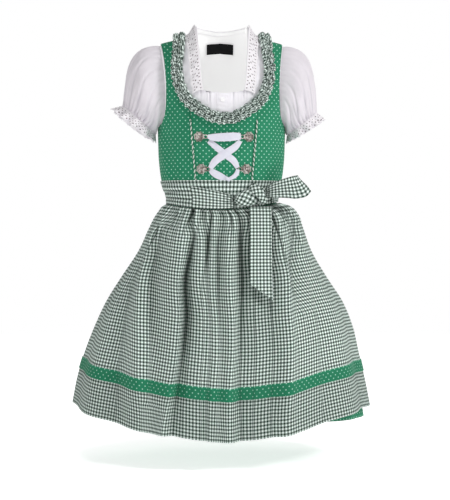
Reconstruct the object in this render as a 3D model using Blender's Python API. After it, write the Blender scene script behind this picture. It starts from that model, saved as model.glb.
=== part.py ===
"""Child's dirndl set, worn shape with no wearer: blouse, dress and apron, built as sewn cloth walls.

Metres, +Z up. The front faces -Y, and left is the wearer's left, +X. The origin lies midway between
the two shoulders, at the height where the shoulder straps rest on them.
A "level" is a height on the body form: metres below the shoulder ridge, which is level 0. It equals z
below the chest, and above it the form rises to the ridge, which climbs towards the neck.
"""

import math
from collections import namedtuple

import bmesh
import bpy
import numpy as np
from mathutils import Matrix, Vector

# Driving dimensions of the cut.
WAIST = -0.262  # level of the seam between bodice and skirt
CHEST = -0.150  # level where the form starts to close over the shoulders
CLOTH = 0.0015  # thickness of a dress or apron wall
FINE_CLOTH = 0.0011  # thickness of a blouse, lace or ribbon wall
GAP = 0.0004  # air between two layers
SEAM = 0.0003  # half the air at a seam
NUDGE, NUDGE_TURN = 0.0008, 0.01  # steps that normals are taken over, in metres and radians
DOME = 2.1  # roundness of the form from chest to shoulder, 2 being a circle
ROUND = 2.2  # roundness of the form's level sections

# Layers, as distances out from the body form.
BLOUSE_IN, BLOUSE_OUT = -0.0025, -0.0014
BODICE_IN, BODICE_OUT = 0.0006, 0.0021
TRIM_IN = BODICE_OUT + GAP
BAND_IN = BODICE_OUT + 0.0008
BAND_OUT = BAND_IN + CLOTH
TIE_IN = BAND_OUT + 0.0008
TIE_OUT = TIE_IN + CLOTH

# Neckline of the dress, seen from the front: straight sides that run into half an ellipse.
NECK_HALF_WIDTH = 0.0690
NECK_TURN = -0.050  # level where the sides run into the ellipse
NECK_DROP = 0.0804  # height of the half ellipse

# Skirt and apron.
HEM_SIDES = -0.6105  # mean height of the apron's hem at its two side edges
HEM_TILT = 0.0035  # how much lower than that it hangs on the left, and higher on the right
HEM_FRONT_DIP = 0.0415  # how much lower it hangs in front
SKIRT_HEM = -0.6165
PARTING = 0.25  # degrees that the skirt panels end short of the side seams
SKIRT_HEM_TILT = 0.0170  # the left side hangs this much lower than the middle
TRIM_TOP = 0.772  # share of the way from the band to the hem where the trim band starts
TRIM_WIDTH = 0.056  # its width, as such a share
TRIM_OFF = 0.0005  # air between the trim and the folded panel under it
GATHERS_APRON, GATHERS_SKIRT = 26, 20
COLUMNS_A_GATHER = 3
COLUMNS_A_FOLD = 3  # columns of the apron from one fold line to the next

GREEN = (0.045, 0.275, 0.150)
CHECK = (0.300, 0.420, 0.350)
WHITE = (0.800, 0.790, 0.810)
BLACK = (0.010, 0.010, 0.011)
SILVER = (0.360, 0.310, 0.300)

Section = namedtuple("Section", "level half_width half_depth")
TORSO = [
    Section(-0.300, 0.0960, 0.0765),
    Section(-0.285, 0.0920, 0.0730),
    Section(-0.262, 0.0900, 0.0715),
    Section(-0.235, 0.0990, 0.0750),
    Section(-0.200, 0.1040, 0.0775),
    Section(-0.165, 0.1055, 0.0795),
    Section(-0.140, 0.1065, 0.0800),
    Section(-0.100, 0.1120, 0.0800),
    Section(-0.060, 0.1180, 0.0800),
    Section(0.000, 0.1240, 0.0800),
]

Ridge = namedtuple("Ridge", "away height")  # distance from the middle, height of the shoulder ridge there
RIDGE = [
    Ridge(0.000, 0.0450),
    Ridge(0.030, 0.0395),
    Ridge(0.045, 0.0300),
    Ridge(0.053, 0.0155),
    Ridge(0.062, 0.0080),
    Ridge(0.074, 0.0040),
    Ridge(0.085, 0.0015),
    Ridge(0.105, -0.0035),
    Ridge(0.130, -0.0100),
]

SIDE = 1.0  # an x past the form's side, which stands for the side seam
# A rung of a panel: where it starts on the inner edge and where it ends on the outer edge.
Rung = namedtuple("Rung", "inner_level inner_x outer_level outer_x")
FRONT_SIDE_RUNGS = [
    Rung(-0.2620, 0.0435, -0.2620, SIDE),
    Rung(-0.2480, 0.0445, -0.2480, SIDE),
    Rung(-0.2350, 0.0455, -0.2350, SIDE),
    Rung(-0.2050, 0.0480, -0.2000, SIDE),
    Rung(-0.1790, 0.0503, -0.1680, SIDE),
    Rung(-0.1570, 0.0522, -0.1430, SIDE),
    Rung(-0.1490, 0.0529, -0.1418, 0.1047),
    Rung(-0.1400, 0.0536, -0.1368, 0.1003),
    Rung(-0.1250, 0.0547, -0.1250, 0.0958),
    Rung(-0.1100, 0.0555, -0.1080, 0.0940),
    Rung(-0.0990, 0.0560, -0.0920, 0.0937),
    Rung(-0.0840, 0.0620, -0.0780, 0.0938),
    Rung(-0.0670, 0.0668, -0.0660, 0.0941),
    Rung(-0.0500, 0.0690, -0.0500, 0.0952),
    Rung(-0.0300, 0.0678, -0.0300, 0.0972),
    Rung(-0.0120, 0.0660, -0.0120, 0.1000),
    Rung(-0.0030, 0.0648, -0.0030, 0.1018),
    Rung(0.0000, 0.0645, 0.0000, 0.1026),
]
BACK_RUNGS = [
    Rung(-0.2620, 0.0000, -0.2620, SIDE),
    Rung(-0.2480, 0.0000, -0.2480, SIDE),
    Rung(-0.2350, 0.0000, -0.2350, SIDE),
    Rung(-0.2050, 0.0000, -0.2000, SIDE),
    Rung(-0.1790, 0.0000, -0.1680, SIDE),
    Rung(-0.1560, 0.0000, -0.1430, SIDE),
    Rung(-0.1460, 0.0000, -0.1418, 0.1047),
    Rung(-0.1350, 0.0000, -0.1368, 0.1003),
    Rung(-0.1170, 0.0000, -0.1250, 0.0956),
    Rung(-0.0900, 0.0000, -0.1040, 0.0935),
    Rung(-0.0600, 0.0000, -0.0840, 0.0931),
    Rung(-0.0560, 0.0240, -0.0660, 0.0936),
    Rung(-0.0465, 0.0430, -0.0490, 0.0950),
    Rung(-0.0310, 0.0550, -0.0300, 0.0971),
    Rung(-0.0125, 0.0622, -0.0120, 0.1000),
    Rung(-0.0030, 0.0643, -0.0030, 0.1018),
    Rung(0.0000, 0.0645, 0.0000, 0.1026),
]
BLOUSE_FRONT_RUNGS = [
    Rung(-0.2000, 0.0000, -0.2000, SIDE),
    Rung(-0.1720, 0.0000, -0.1650, SIDE),
    Rung(-0.1500, 0.0000, -0.1405, SIDE),
    Rung(-0.1420, 0.0000, -0.1394, 0.1052),
    Rung(-0.1330, 0.0000, -0.1345, 0.1018),
    Rung(-0.1220, 0.0000, -0.1250, 0.0984),
    Rung(-0.1125, 0.0000, -0.1155, 0.0970),
    Rung(-0.1035, 0.0000, -0.1075, 0.0965),
    Rung(-0.1020, 0.0120, -0.1000, 0.0963),
    Rung(-0.1008, 0.0240, -0.0920, 0.0963),
    Rung(-0.0980, 0.0340, -0.0820, 0.0964),
    Rung(-0.0800, 0.0370, -0.0650, 0.0971),
    Rung(-0.0600, 0.0390, -0.0480, 0.0983),
    Rung(-0.0385, 0.0408, -0.0310, 0.1001),
    Rung(-0.0150, 0.0430, -0.0120, 0.1025),
    Rung(-0.0040, 0.0443, -0.0030, 0.1044),
    Rung(0.0000, 0.0448, 0.0000, 0.1052),
]
BLOUSE_BACK_RUNGS = [  # only the outer edge is used: the back is one piece across
    Rung(-0.2000, 0.0000, -0.2000, SIDE),
    Rung(-0.1680, 0.0000, -0.1680, SIDE),
    Rung(-0.1405, 0.0000, -0.1405, SIDE),
    Rung(-0.1394, 0.0000, -0.1394, 0.1052),
    Rung(-0.1345, 0.0000, -0.1345, 0.1018),
    Rung(-0.1220, 0.0000, -0.1220, 0.0976),
    Rung(-0.0980, 0.0000, -0.0980, 0.0957),
    Rung(-0.0700, 0.0000, -0.0700, 0.0960),
    Rung(-0.0480, 0.0000, -0.0480, 0.0978),
    Rung(-0.0300, 0.0000, -0.0300, 0.1000),
    Rung(-0.0120, 0.0000, -0.0120, 0.1025),
    Rung(-0.0030, 0.0000, -0.0030, 0.1044),
    Rung(0.0000, 0.0000, 0.0000, 0.1052),
]
BACK_NECK_DIP = 0.0170  # how far the blouse's back neckline dips below the ridge, as a level
BACK_NECK_REACH = 0.0460  # half the width of that dip
BACK_NECK_FOOT = -0.0750  # level down to which the back's rows bend with it

# The apron's smooth shape, by share of the way from the sash to the hem: half width and half depth of
# each level section, and how far its middle lies to the left.
Flare = namedtuple("Flare", "share half_width half_depth middle")
FLARE = [
    Flare(0.000, 0.0975, 0.0775, 0.0020),
    Flare(0.020, 0.1085, 0.0835, 0.0070),
    Flare(0.057, 0.1205, 0.0890, 0.0090),
    Flare(0.119, 0.1310, 0.0985, 0.0075),
    Flare(0.243, 0.1485, 0.1130, 0.0055),
    Flare(0.367, 0.1740, 0.1310, 0.0042),
    Flare(0.491, 0.2000, 0.1485, 0.0050),
    Flare(0.615, 0.2180, 0.1615, 0.0042),
    Flare(0.739, 0.2310, 0.1715, 0.0012),
    Flare(0.863, 0.2420, 0.1800, -0.0004),
    Flare(1.000, 0.2510, 0.1885, -0.0006),
]

# Fold lines of the apron down the cloth: the turn in degrees at each of six shares of the length, and
# how far the line stands out there in millimetres. The cloth runs smoothly from one line to the next.
FOLD_SHARES = [0.03, 0.14, 0.27, 0.50, 0.73, 1.00]
DEEPEST_FOLD = -0.0140  # no valley lies further in than this
FoldLine = namedtuple("FoldLine", "t0 t1 t2 t3 t4 t5 h0 h1 h2 h3 h4 h5")
APRON_LINES = [
    FoldLine(-106, -106, -106, -106, -106, -106, 0, 0, 0, 0, 0, 0),
    FoldLine(-94, -95, -95, -94, -94, -94, 0, 0, 1, 2, 3, 3),
    FoldLine(-84, -86, -86, -84, -81, -79, -1, -1, -2, -3, -3, -3),
    FoldLine(-74, -79, -77, -70, -65, -63, 1, 1, 1, 3, 4, 4),
    FoldLine(-66, -75, -69, -58, -51, -47, 0, 0, -2, -6, -8, -7),
    FoldLine(-60, -70, -62, -46, -38, -33, 1, 1, 3, 6, 7, 5),
    FoldLine(-52, -61, -55, -40.5, -33, -29, -4, -7, -9, -8, -3, 1),
    FoldLine(-36, -33.7, -30.5, -23.2, -21.8, -24, 3, 6, 8, 9, 7, 5),
    FoldLine(-32, -27.0, -27.8, -21.6, -20.3, -20.8, -7, -11, -17, -20, -17, -12),
    FoldLine(-28.5, -24.0, -23.5, -18.2, -17.2, -17.6, 2, 0, -5, -9, -9, -7),
    FoldLine(-26, -20, -17.5, -12, -11, -10, 3, 3, 0, -3, -4, -4),
    FoldLine(-21.8, -15.3, -13.5, -9, -8, -8, -7, -9, -6, -4, -5, -5),
    FoldLine(-14, -11.5, -10, -7, -6, -6, 3, 2, 0, 0, 0, 0),
    FoldLine(-7.3, -7.8, -6.5, -4.5, -3.5, -3.5, -7, -10, -9, -4, -1, 0),
    FoldLine(1.5, 1.2, 0.3, 0.8, 0.6, 0.4, 3, 6, 8, 9, 9, 7),
    FoldLine(11.2, 9.8, 9.5, 5.8, 5.0, 5.6, -8, -13, -14, -12, -11, -10),
    FoldLine(22, 20, 18, 12, 11, 10, 0, -3, -5, -8, -9, -8),
    FoldLine(31, 30, 27.5, 21, 19, 17, -6, -13, -13, -9, -9, -8),
    FoldLine(42, 38.8, 37.5, 28.2, 25.8, 23, 2, 6, 8, 10, 9, 7),
    FoldLine(55, 59, 45, 33.5, 30, 28, -5, -9, -8, 0, 1, 1),
    FoldLine(64, 66, 58, 46, 42, 40, 1, 2, 1, -2, -3, -4),
    FoldLine(70, 72, 66, 60, 57, 56, 1, 1, 2, 3, 4, 5),
    FoldLine(78, 79, 77, 75, 72, 71, -1, -1, -2, -3, -4, -5),
    FoldLine(86, 87, 86, 87, 86, 86, 0, 0, 1, 3, 3, 4),
    FoldLine(92, 92, 92, 92, 92, 92, 0, 0, 0, 0, 0, 0),
]

# Sleeves: ends of each tilted cuff, seen from the front, and how far its ruffle leans outwards.
Cuff = namedtuple("Cuff", "side outer_x outer_z inner_x inner_z lean")
CUFFS = [
    Cuff("right", -0.1660, -0.1060, -0.1115, -0.1545, 0.40),
    Cuff("left", 0.1605, -0.1150, 0.1115, -0.1545, 0.00),
]
CUFF_HALF_DEPTH = 0.0350
RUFFLE_LENGTH = 0.0190
RUFFLE_WAVES = 12
SLEEVE_GATHERS = 10


FRONT, UP = np.array([0, -1.0, 0]), np.array([0, 0, 1.0])


def column(rows, name):
    """One named column of a table, as an array."""
    return np.array([getattr(row, name) for row in rows], float)


def lookup(rows, key, at, name):
    """A smooth curve through one column of a table, read at the given values of its key column."""
    x, y = column(rows, key), column(rows, name)
    slope = np.gradient(y, x)
    at = np.clip(at, x[0], x[-1])
    i = np.clip(np.searchsorted(x, at, side="right") - 1, 0, len(x) - 2)
    step = x[i + 1] - x[i]
    s = (at - x[i]) / step
    start = (1 + 2 * s) * (1 - s) ** 2 * y[i] + s * (1 - s) ** 2 * step * slope[i]
    return start + s**2 * (3 - 2 * s) * y[i + 1] + s**2 * (s - 1) * step * slope[i + 1]


def form(x, level, face):
    """Points of the body form. face is -1 for the front and 1 for the back."""
    x, level = np.broadcast_arrays(np.asarray(x, float), np.asarray(level, float))
    half_width = lookup(TORSO, "level", level, "half_width")
    rise = np.clip((level - CHEST) / -CHEST, 0, 1)
    half_depth = lookup(TORSO, "level", level, "half_depth") * (1 - rise**DOME) ** (1 / DOME)
    across = np.clip(np.abs(x) / half_width, 0, 1)
    y = face * half_depth * (1 - across**ROUND) ** (1 / ROUND)
    height = CHEST + rise * (lookup(RIDGE, "away", np.abs(x), "height") - CHEST)
    return np.stack([x, y, np.where(level < CHEST, level, height)], -1)


def side_angle(x, level):
    """The angle whose sine is x over the form's half width at a level, 90 degrees at the side seam."""
    return np.arcsin(np.clip(x / lookup(TORSO, "level", level, "half_width"), -1, 1))


def form_round(turn, level):
    """Form points by their turn, the angle round from the front towards the wearer's left, in radians."""
    turn, level = np.broadcast_arrays(turn, level)
    half_width = lookup(TORSO, "level", level, "half_width")
    return form(half_width * np.sin(turn), level, np.where(np.cos(turn) >= 0, -1, 1))


def round_normals(turn, level):
    """Outward unit normals of the form, from small steps round and up."""
    across = form_round(turn + NUDGE_TURN, level) - form_round(turn - NUDGE_TURN, level)
    up = form_round(turn, np.minimum(level + NUDGE, 0)) - form_round(turn, level - NUDGE)
    return unit(np.cross(across, up))


def form_normals(x, level, face):
    """Outward unit normals of the form at a place given as in form."""
    x, level = np.broadcast_arrays(np.asarray(x, float), np.asarray(level, float))
    angle = side_angle(x, level)
    return round_normals(angle if face < 0 else math.pi - angle, level)


def on_form(x, level, face):
    """Form points and their normals."""
    return form(x, level, face), form_normals(x, level, face)


def unit(vectors):
    """Vectors scaled to length one."""
    return vectors / np.maximum(np.linalg.norm(vectors, axis=-1, keepdims=True), 1e-12)


def normals(grid, closed=False):
    """Unit normals of a grid of points, rows up and columns round. A closed grid's columns meet."""
    if closed:
        wide = np.concatenate([grid[:, -1:], grid, grid[:, :1]], 1)
        along = (wide[:, 2:] - wide[:, :-2]) / 2
    else:
        along = np.gradient(grid, axis=1)
    return unit(np.cross(along, np.gradient(grid, axis=0)))


def outward(grid, closed=False):
    """Normals that point away from the garment's upright middle line."""
    n = normals(grid, closed)
    away = grid * (1, 1, 0)
    return n if (n * away).sum() > 0 else -n


def grid_faces(start, rows, columns, closed, flip):
    """Quads of a grid, each with its first and third corner on the same diagonal whichever way it faces."""
    faces = []
    for r in range(rows - 1):
        for c in range(columns if closed else columns - 1):
            right = (c + 1) % columns
            a, b = start + r * columns + c, start + r * columns + right
            d, e = start + (r + 1) * columns + c, start + (r + 1) * columns + right
            faces.append((a, d, e, b) if flip else (a, b, e, d))
    return faces


def rim_faces(edge_out, edge_in, closed):
    """Quads between two matching edges of a wall."""
    count = len(edge_out)
    pairs = [(i, (i + 1) % count) for i in range(count if closed else count - 1)]
    return [(edge_out[i], edge_in[i], edge_in[j], edge_out[j]) for i, j in pairs]


def signed_volume(points, faces):
    total = 0.0
    for face in faces:
        for b, c in zip(face[1:-1], face[2:]):
            total += float(np.dot(points[face[0]], np.cross(points[b], points[c])))
    return total


def add_object(name, points, faces, material):
    """One named solid. Its faces are turned outwards, keeping each quad's diagonal."""
    if signed_volume(points, faces) < 0:
        faces = [(face[0],) + tuple(reversed(face[1:])) for face in faces]
    mesh = bpy.data.meshes.new(name)
    mesh.from_pydata([tuple(p) for p in points], [], faces)
    mesh.shade_smooth()
    mesh.set_sharp_from_angle(angle=math.radians(50))
    mesh.materials.append(material)
    made = bpy.data.objects.new(name, mesh)
    bpy.context.scene.collection.objects.link(made)
    return made


def wall(name, outer, inner, material, closed=False):
    """A cloth wall between two matching grids of points. closed joins the last column to the first."""
    rows, columns = outer.shape[:2]
    points = np.concatenate([outer.reshape(-1, 3), inner.reshape(-1, 3)])
    size = rows * columns
    index_out = np.arange(size).reshape(rows, columns)
    index_in = index_out + size
    faces = grid_faces(0, rows, columns, closed, False) + grid_faces(size, rows, columns, closed, True)
    faces += rim_faces(index_out[0], index_in[0], closed)
    faces += rim_faces(index_out[-1][::-1], index_in[-1][::-1], closed)
    if not closed:
        faces += rim_faces(index_out[:, 0][::-1], index_in[:, 0][::-1], False)
        faces += rim_faces(index_out[:, -1], index_in[:, -1], False)
    return add_object(name, points, [tuple(int(i) for i in face) for face in faces], material)


def add_panel(name, points, out, low, high, material):
    """A wall on the form, from points and their normals."""
    return wall(name, points + out * high, points + out * low, material)


def layered(name, grid, low, high, material, closed=False):
    """A wall that follows a grid, from one distance outwards to another."""
    n = outward(grid, closed)
    return wall(name, grid + n * high, grid + n * low, material, closed)


def loft(name, rings, material, closed=False):
    """A solid through matching rings of points, with flat ends, or joined end to end."""
    count, around = rings.shape[:2]
    faces = []
    for r in range(count if closed else count - 1):
        for k in range(around):
            a, b = r * around + k, r * around + (k + 1) % around
            far = ((r + 1) % count) * around
            faces.append((a, b, far + (k + 1) % around, far + k))
    if not closed:
        faces.append(tuple(reversed(range(around))))
        faces.append(tuple(range((count - 1) * around, count * around)))
    return add_object(name, rings.reshape(-1, 3), faces, material)


def cloth_material(name, colour, roughness=0.85, metallic=0.0):
    """A plain Principled material of one colour."""
    material = bpy.data.materials.new(name)
    material.use_nodes = True
    shader = material.node_tree.nodes["Principled BSDF"]
    shader.inputs["Base Color"].default_value = (*colour, 1.0)
    shader.inputs["Roughness"].default_value = roughness
    shader.inputs["Metallic"].default_value = metallic
    return material


# ---- bodice -------------------------------------------------------------------------------------


def ladder(rungs, hand, face, columns):
    """A panel's points on the form and their normals, in rows along the rungs from the inner edge out.

    hand is 1 for the wearer's left and -1 for the right."""
    s = np.linspace(0, 1, columns)[None, :]
    starts = np.array([side_angle(r.inner_x, r.inner_level) for r in rungs])[:, None]
    ends = np.array([side_angle(r.outer_x, r.outer_level) for r in rungs])[:, None]
    inner, outer = column(rungs, "inner_level")[:, None], column(rungs, "outer_level")[:, None]
    level = inner + (outer - inner) * s
    half_width = lookup(TORSO, "level", level, "half_width")
    return on_form(hand * half_width * np.sin(starts + (ends - starts) * s), level, face)


def part_at_seams(grid, hand, face):
    """Draws a panel's edges back a little from its neighbours' at the inner edge, side and shoulder."""
    grid = grid.copy()
    on_side = np.isclose(grid[:, -1, 1], 0, atol=2e-4)
    grid[on_side, -1, 1] += face * SEAM
    grid[:, 0, 0] += hand * SEAM
    grid[-1, :, 1] += face * SEAM
    return grid


def princess_x(level):
    """Distance of the princess seam from the middle, at a level."""
    return np.interp(level, [-0.262, -0.235, -0.200, -0.165, -0.135, -0.115, -0.097],
                     [0.0435, 0.0455, 0.0485, 0.0515, 0.0540, 0.0552, 0.0560])


def neckline_level(x):
    """Level of the dress's front neckline at a distance x from the middle."""
    return NECK_TURN - NECK_DROP * np.sqrt(1 - np.clip(x / NECK_HALF_WIDTH, -1, 1) ** 2)


def centre_front_grid(rows=7, columns=9):
    s = np.linspace(-1, 1, columns)[None, :]
    t = np.linspace(0, 1, rows)[:, None]
    top = neckline_level(s * princess_x(-0.097))
    level = WAIST + t * (top - WAIST)
    return on_form(s * (princess_x(level) - SEAM), level, -1)


def add_bodice(green):
    add_panel("bodice_centre_front", *centre_front_grid(), BODICE_IN, BODICE_OUT, green)
    for side, hand in (("left", 1), ("right", -1)):
        for name, rungs, face in (("side_front", FRONT_SIDE_RUNGS, -1), ("back", BACK_RUNGS, 1)):
            points, out = ladder(rungs, hand, face, 7)
            points = part_at_seams(points, hand, face)
            add_panel(f"bodice_{name}_{side}", points, out, BODICE_IN, BODICE_OUT, green)


def tube(name, line, radius, sides, material):
    """A round cord along a line of points, with flat ends."""
    along = unit(np.gradient(line, axis=0))
    across = unit(np.cross(along, outward_at(line)))
    up = np.cross(across, along)
    turn = np.linspace(0, 2 * math.pi, sides, endpoint=False)
    rings = line[:, None] + radius * (
        across[:, None] * np.cos(turn)[None, :, None] + up[:, None] * np.sin(turn)[None, :, None]
    )
    return loft(name, rings, material)


def outward_at(points):
    return unit(points * (1, 1, 0))


PIPING_RADIUS = 0.0013
PIPING_LEVELS = (-0.2340, -0.1350)


def add_piping(white):
    levels = np.linspace(*PIPING_LEVELS, 9)
    for side, hand in (("left", 1), ("right", -1)):
        line, out = on_form(hand * princess_x(levels), levels, -1)
        tube(f"piping_{side}", line + out * (TRIM_IN + PIPING_RADIUS), PIPING_RADIUS, 7, white)


# ---- neck frill ---------------------------------------------------------------------------------

FRILL_WAVES = 42
FRILL_COLUMNS = 3  # columns a wave
FRILL_HALF_WIDTH = 0.0098
FRILL_FLOOR = TRIM_IN + 0.0006  # height of its underside above the form
FRILL_DRAW_IN = 0.0048  # how much closer to the middle it runs on the shoulder
FRILL_PATH_OUT = 0.0060  # the frill's middle line lies this far outside the cut neckline
FRILL_SHOULDER_LIFT = 0.0014  # it stands this much higher where the shoulder is hollow across
FRILL_RIPPLE = 0.0011
# The frill's profile across its width: places from the inner edge to the outer one, and heights.
FrillPoint = namedtuple("FrillPoint", "place height wave")
FRILL_PROFILE = [
    FrillPoint(-1.00, 0.0030, 0.30),
    FrillPoint(-0.56, 0.0078, 1.00),
    FrillPoint(0.00, 0.0036, 0.15),
    FrillPoint(0.56, 0.0078, -1.00),
    FrillPoint(1.00, 0.0030, -0.30),
]


def frill_path(count):
    """The frill's middle line round the neck, closed: x, level and face of each point."""
    front = count * 2 // 3
    half_width, drop = NECK_HALF_WIDTH + FRILL_PATH_OUT, NECK_DROP + FRILL_PATH_OUT
    dense = np.linspace(0, 1, 400)
    straight = -NECK_TURN
    arc = math.pi / 2 * math.sqrt((half_width**2 + drop**2) / 2)
    share = straight / (straight + arc)
    turn = np.clip((dense - share) / (1 - share), 0, 1) * math.pi / 2
    x = half_width * np.cos(turn)
    x = np.where(dense < share, half_width - FRILL_DRAW_IN * (1 - dense / share), x)
    level = np.where(dense < share, NECK_TURN * dense / share, NECK_TURN - drop * np.sin(turn))
    front_x = np.concatenate([x, -x[::-1][1:]])
    front_level = np.concatenate([level, level[::-1][1:]])
    back_turn = np.linspace(0, math.pi, 400)[1:-1]
    back_x = -(half_width - FRILL_DRAW_IN) * np.cos(back_turn)
    back_level = -0.0660 * np.sin(back_turn) ** 0.8
    places = [resample(form(front_x, front_level, -1), front, front_x, front_level)]
    places.append(resample(form(back_x, back_level, 1), count - front, back_x, back_level))
    faces = np.concatenate([np.full(front, -1), np.full(count - front, 1)])
    return np.concatenate([p[0] for p in places]), np.concatenate([p[1] for p in places]), faces


def resample(line, count, *values):
    """Values along a line at points evenly spaced by length, each half a step inside its ends."""
    length = np.concatenate([[0], np.cumsum(np.linalg.norm(np.diff(line, axis=0), axis=1))])
    at = (np.arange(count) + 0.5) / count * length[-1]
    return [np.interp(at, length, value) for value in values]


def frill_rings():
    """Sections of the frill: two soft humps over a flat underside, gathered into waves."""
    count = FRILL_WAVES * FRILL_COLUMNS
    x, level, face = frill_path(count)
    angle = side_angle(x, level)
    turn = np.where(face < 0, angle, math.pi - angle)
    middle, out = form_round(turn, level), round_normals(turn, level)
    joined = np.concatenate([out[-2:], out, out[:2]])
    out = unit(joined[:-4] + joined[1:-3] + joined[2:-2] + joined[3:-1] + joined[4:])
    wide = np.concatenate([middle[-1:], middle, middle[:1]])
    across = unit(np.cross(out, unit(wide[2:] - wide[:-2])))
    middle = middle + out * FRILL_SHOULDER_LIFT * np.exp(-((level / 0.020) ** 2))[:, None]
    phase = np.sin(np.arange(count) / FRILL_COLUMNS * 2 * math.pi + 0.5)[:, None]
    place, height, wave = (column(FRILL_PROFILE, name)[None, :] for name in ("place", "height", "wave"))
    stand = FRILL_FLOOR + height + FRILL_RIPPLE * wave * phase
    side = FRILL_HALF_WIDTH * place * (1 + 0.07 * phase * np.sign(wave))
    top = middle[:, None] + across[:, None] * side[..., None] + out[:, None] * stand[..., None]
    floor_side = np.array([0.80, -0.80]) * FRILL_HALF_WIDTH
    floor = middle[:, None] + across[:, None] * floor_side[None, :, None] + out[:, None] * FRILL_FLOOR
    return np.concatenate([top, floor], 1)


# ---- lacing -------------------------------------------------------------------------------------

HOOK_RADIUS = 0.0092
HOOK_THICKNESS = 0.0018
HOOK_PETALS = 8
RING_RADIUS, RING_WIRE = 0.0034, 0.0008
# Hook centres: distance from the middle and level.
HOOK_PLACES = {"upper": (0.0405, -0.1620), "lower": (0.0365, -0.2150)}


def add_hooks(silver):
    """Four flower hooks, each with a wire ring towards the middle that carries the ribbon."""
    shared = hook_mesh(silver)
    for row, (away, level) in HOOK_PLACES.items():
        for side, hand in (("left", 1), ("right", -1)):
            point, out = on_form(hand * away, level, -1)
            inward = unit(np.array([-hand, 0.0, 0.0]) - out * -hand * out[0])
            up = np.cross(out, inward)
            seat = point + out * (TRIM_IN + HOOK_THICKNESS / 2)
            hook = bpy.data.objects.new(f"hook_{row}_{side}", shared)
            hook.matrix_world = Matrix.Translation(Vector(seat)) @ Matrix(
                (inward, up, out)
            ).transposed().to_4x4()
            bpy.context.scene.collection.objects.link(hook)


def hook_mesh(silver):
    """Flower disc round the origin with a ring at +X, joined to one body."""
    disc = bmesh.new()
    turn = np.linspace(0, 2 * math.pi, HOOK_PETALS * 2, endpoint=False)
    outline = HOOK_RADIUS * (0.88 + 0.12 * np.cos(HOOK_PETALS * turn))
    rings = [
        (outline, -HOOK_THICKNESS / 2),
        (outline * 0.92, HOOK_THICKNESS / 2),
        (np.full_like(turn, HOOK_RADIUS * 0.42), HOOK_THICKNESS * 0.3),
        (np.full_like(turn, HOOK_RADIUS * 0.20), HOOK_THICKNESS * 1.1),
    ]
    loops = [
        [disc.verts.new((r * math.cos(a), r * math.sin(a), z)) for r, a in zip(radii, turn)]
        for radii, z in rings
    ]
    for low, high in zip(loops, loops[1:]):
        for i in range(len(turn)):
            j = (i + 1) % len(turn)
            disc.faces.new((low[i], low[j], high[j], high[i]))
    disc.faces.new(list(reversed(loops[0])))
    disc.faces.new(loops[-1])
    mesh = bpy.data.meshes.new("hook")
    disc.to_mesh(mesh)
    disc.free()
    body = bpy.data.objects.new("hook_disc", mesh)
    ring = bpy.data.objects.new("hook_ring", ring_mesh())
    ring.location = (HOOK_RADIUS + RING_RADIUS * 0.62, 0, 0)
    for helper in (body, ring):
        bpy.context.scene.collection.objects.link(helper)
    join = body.modifiers.new("join_ring", "BOOLEAN")
    join.operation = "UNION"
    join.solver = "EXACT"
    join.object = ring
    bpy.context.view_layer.update()
    joined = bpy.data.meshes.new_from_object(body.evaluated_get(bpy.context.evaluated_depsgraph_get()))
    joined.name = "hook"
    joined.materials.clear()
    joined.materials.append(silver)
    joined.shade_smooth()
    joined.set_sharp_from_angle(angle=math.radians(40))
    for helper in (body, ring):
        bpy.data.objects.remove(helper)
    return joined


def ring_mesh(around=12, section=5):
    wire = bmesh.new()
    rings = []
    for i in range(around):
        a = 2 * math.pi * i / around
        loop = []
        for k in range(section):
            b = 2 * math.pi * k / section
            reach = RING_RADIUS + RING_WIRE * math.cos(b)
            loop.append(wire.verts.new((reach * math.cos(a), reach * math.sin(a), RING_WIRE * math.sin(b))))
        rings.append(loop)
    for i in range(around):
        for k in range(section):
            near, far, next_k = rings[i], rings[(i + 1) % around], (k + 1) % section
            wire.faces.new((near[k], far[k], far[next_k], near[next_k]))
    mesh = bpy.data.meshes.new("hook_ring")
    wire.to_mesh(mesh)
    wire.free()
    return mesh


# A run of ribbon: name, its layer above the bodice, then the x, level and half width of its line.
RibbonPoint = namedtuple("RibbonPoint", "x level half_width")
RIBBON_RUNS = {
    "ribbon_cross_under": (0, [
        RibbonPoint(-0.0250, -0.1690, 0.0040),
        RibbonPoint(-0.0130, -0.1790, 0.0050),
        RibbonPoint(0.0010, -0.1905, 0.0055),
        RibbonPoint(0.0150, -0.2010, 0.0055),
        RibbonPoint(0.0235, -0.2105, 0.0040),
    ]),
    "ribbon_cross_over": (1, [
        RibbonPoint(0.0260, -0.1690, 0.0035),
        RibbonPoint(0.0175, -0.1790, 0.0055),
        RibbonPoint(0.0010, -0.1905, 0.0062),
        RibbonPoint(-0.0140, -0.2020, 0.0058),
        RibbonPoint(-0.0215, -0.2115, 0.0040),
    ]),
    "ribbon_top": (2, [
        RibbonPoint(-0.0262, -0.1620, 0.0032),
        RibbonPoint(-0.0160, -0.1635, 0.0060),
        RibbonPoint(0.0010, -0.1630, 0.0068),
        RibbonPoint(0.0170, -0.1620, 0.0066),
        RibbonPoint(0.0265, -0.1615, 0.0050),
    ]),
    "ribbon_low_right": (0, [
        RibbonPoint(-0.0195, -0.2190, 0.0040),
        RibbonPoint(-0.0175, -0.2230, 0.0056),
        RibbonPoint(-0.0110, -0.2270, 0.0060),
        RibbonPoint(-0.0010, -0.2305, 0.0046),
        RibbonPoint(0.0050, -0.2315, 0.0026),
    ]),
    "ribbon_low_left": (0, [
        RibbonPoint(0.0205, -0.2205, 0.0030),
        RibbonPoint(0.0195, -0.2235, 0.0034),
        RibbonPoint(0.0160, -0.2272, 0.0030),
        RibbonPoint(0.0085, -0.2312, 0.0026),
    ]),
}


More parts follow.
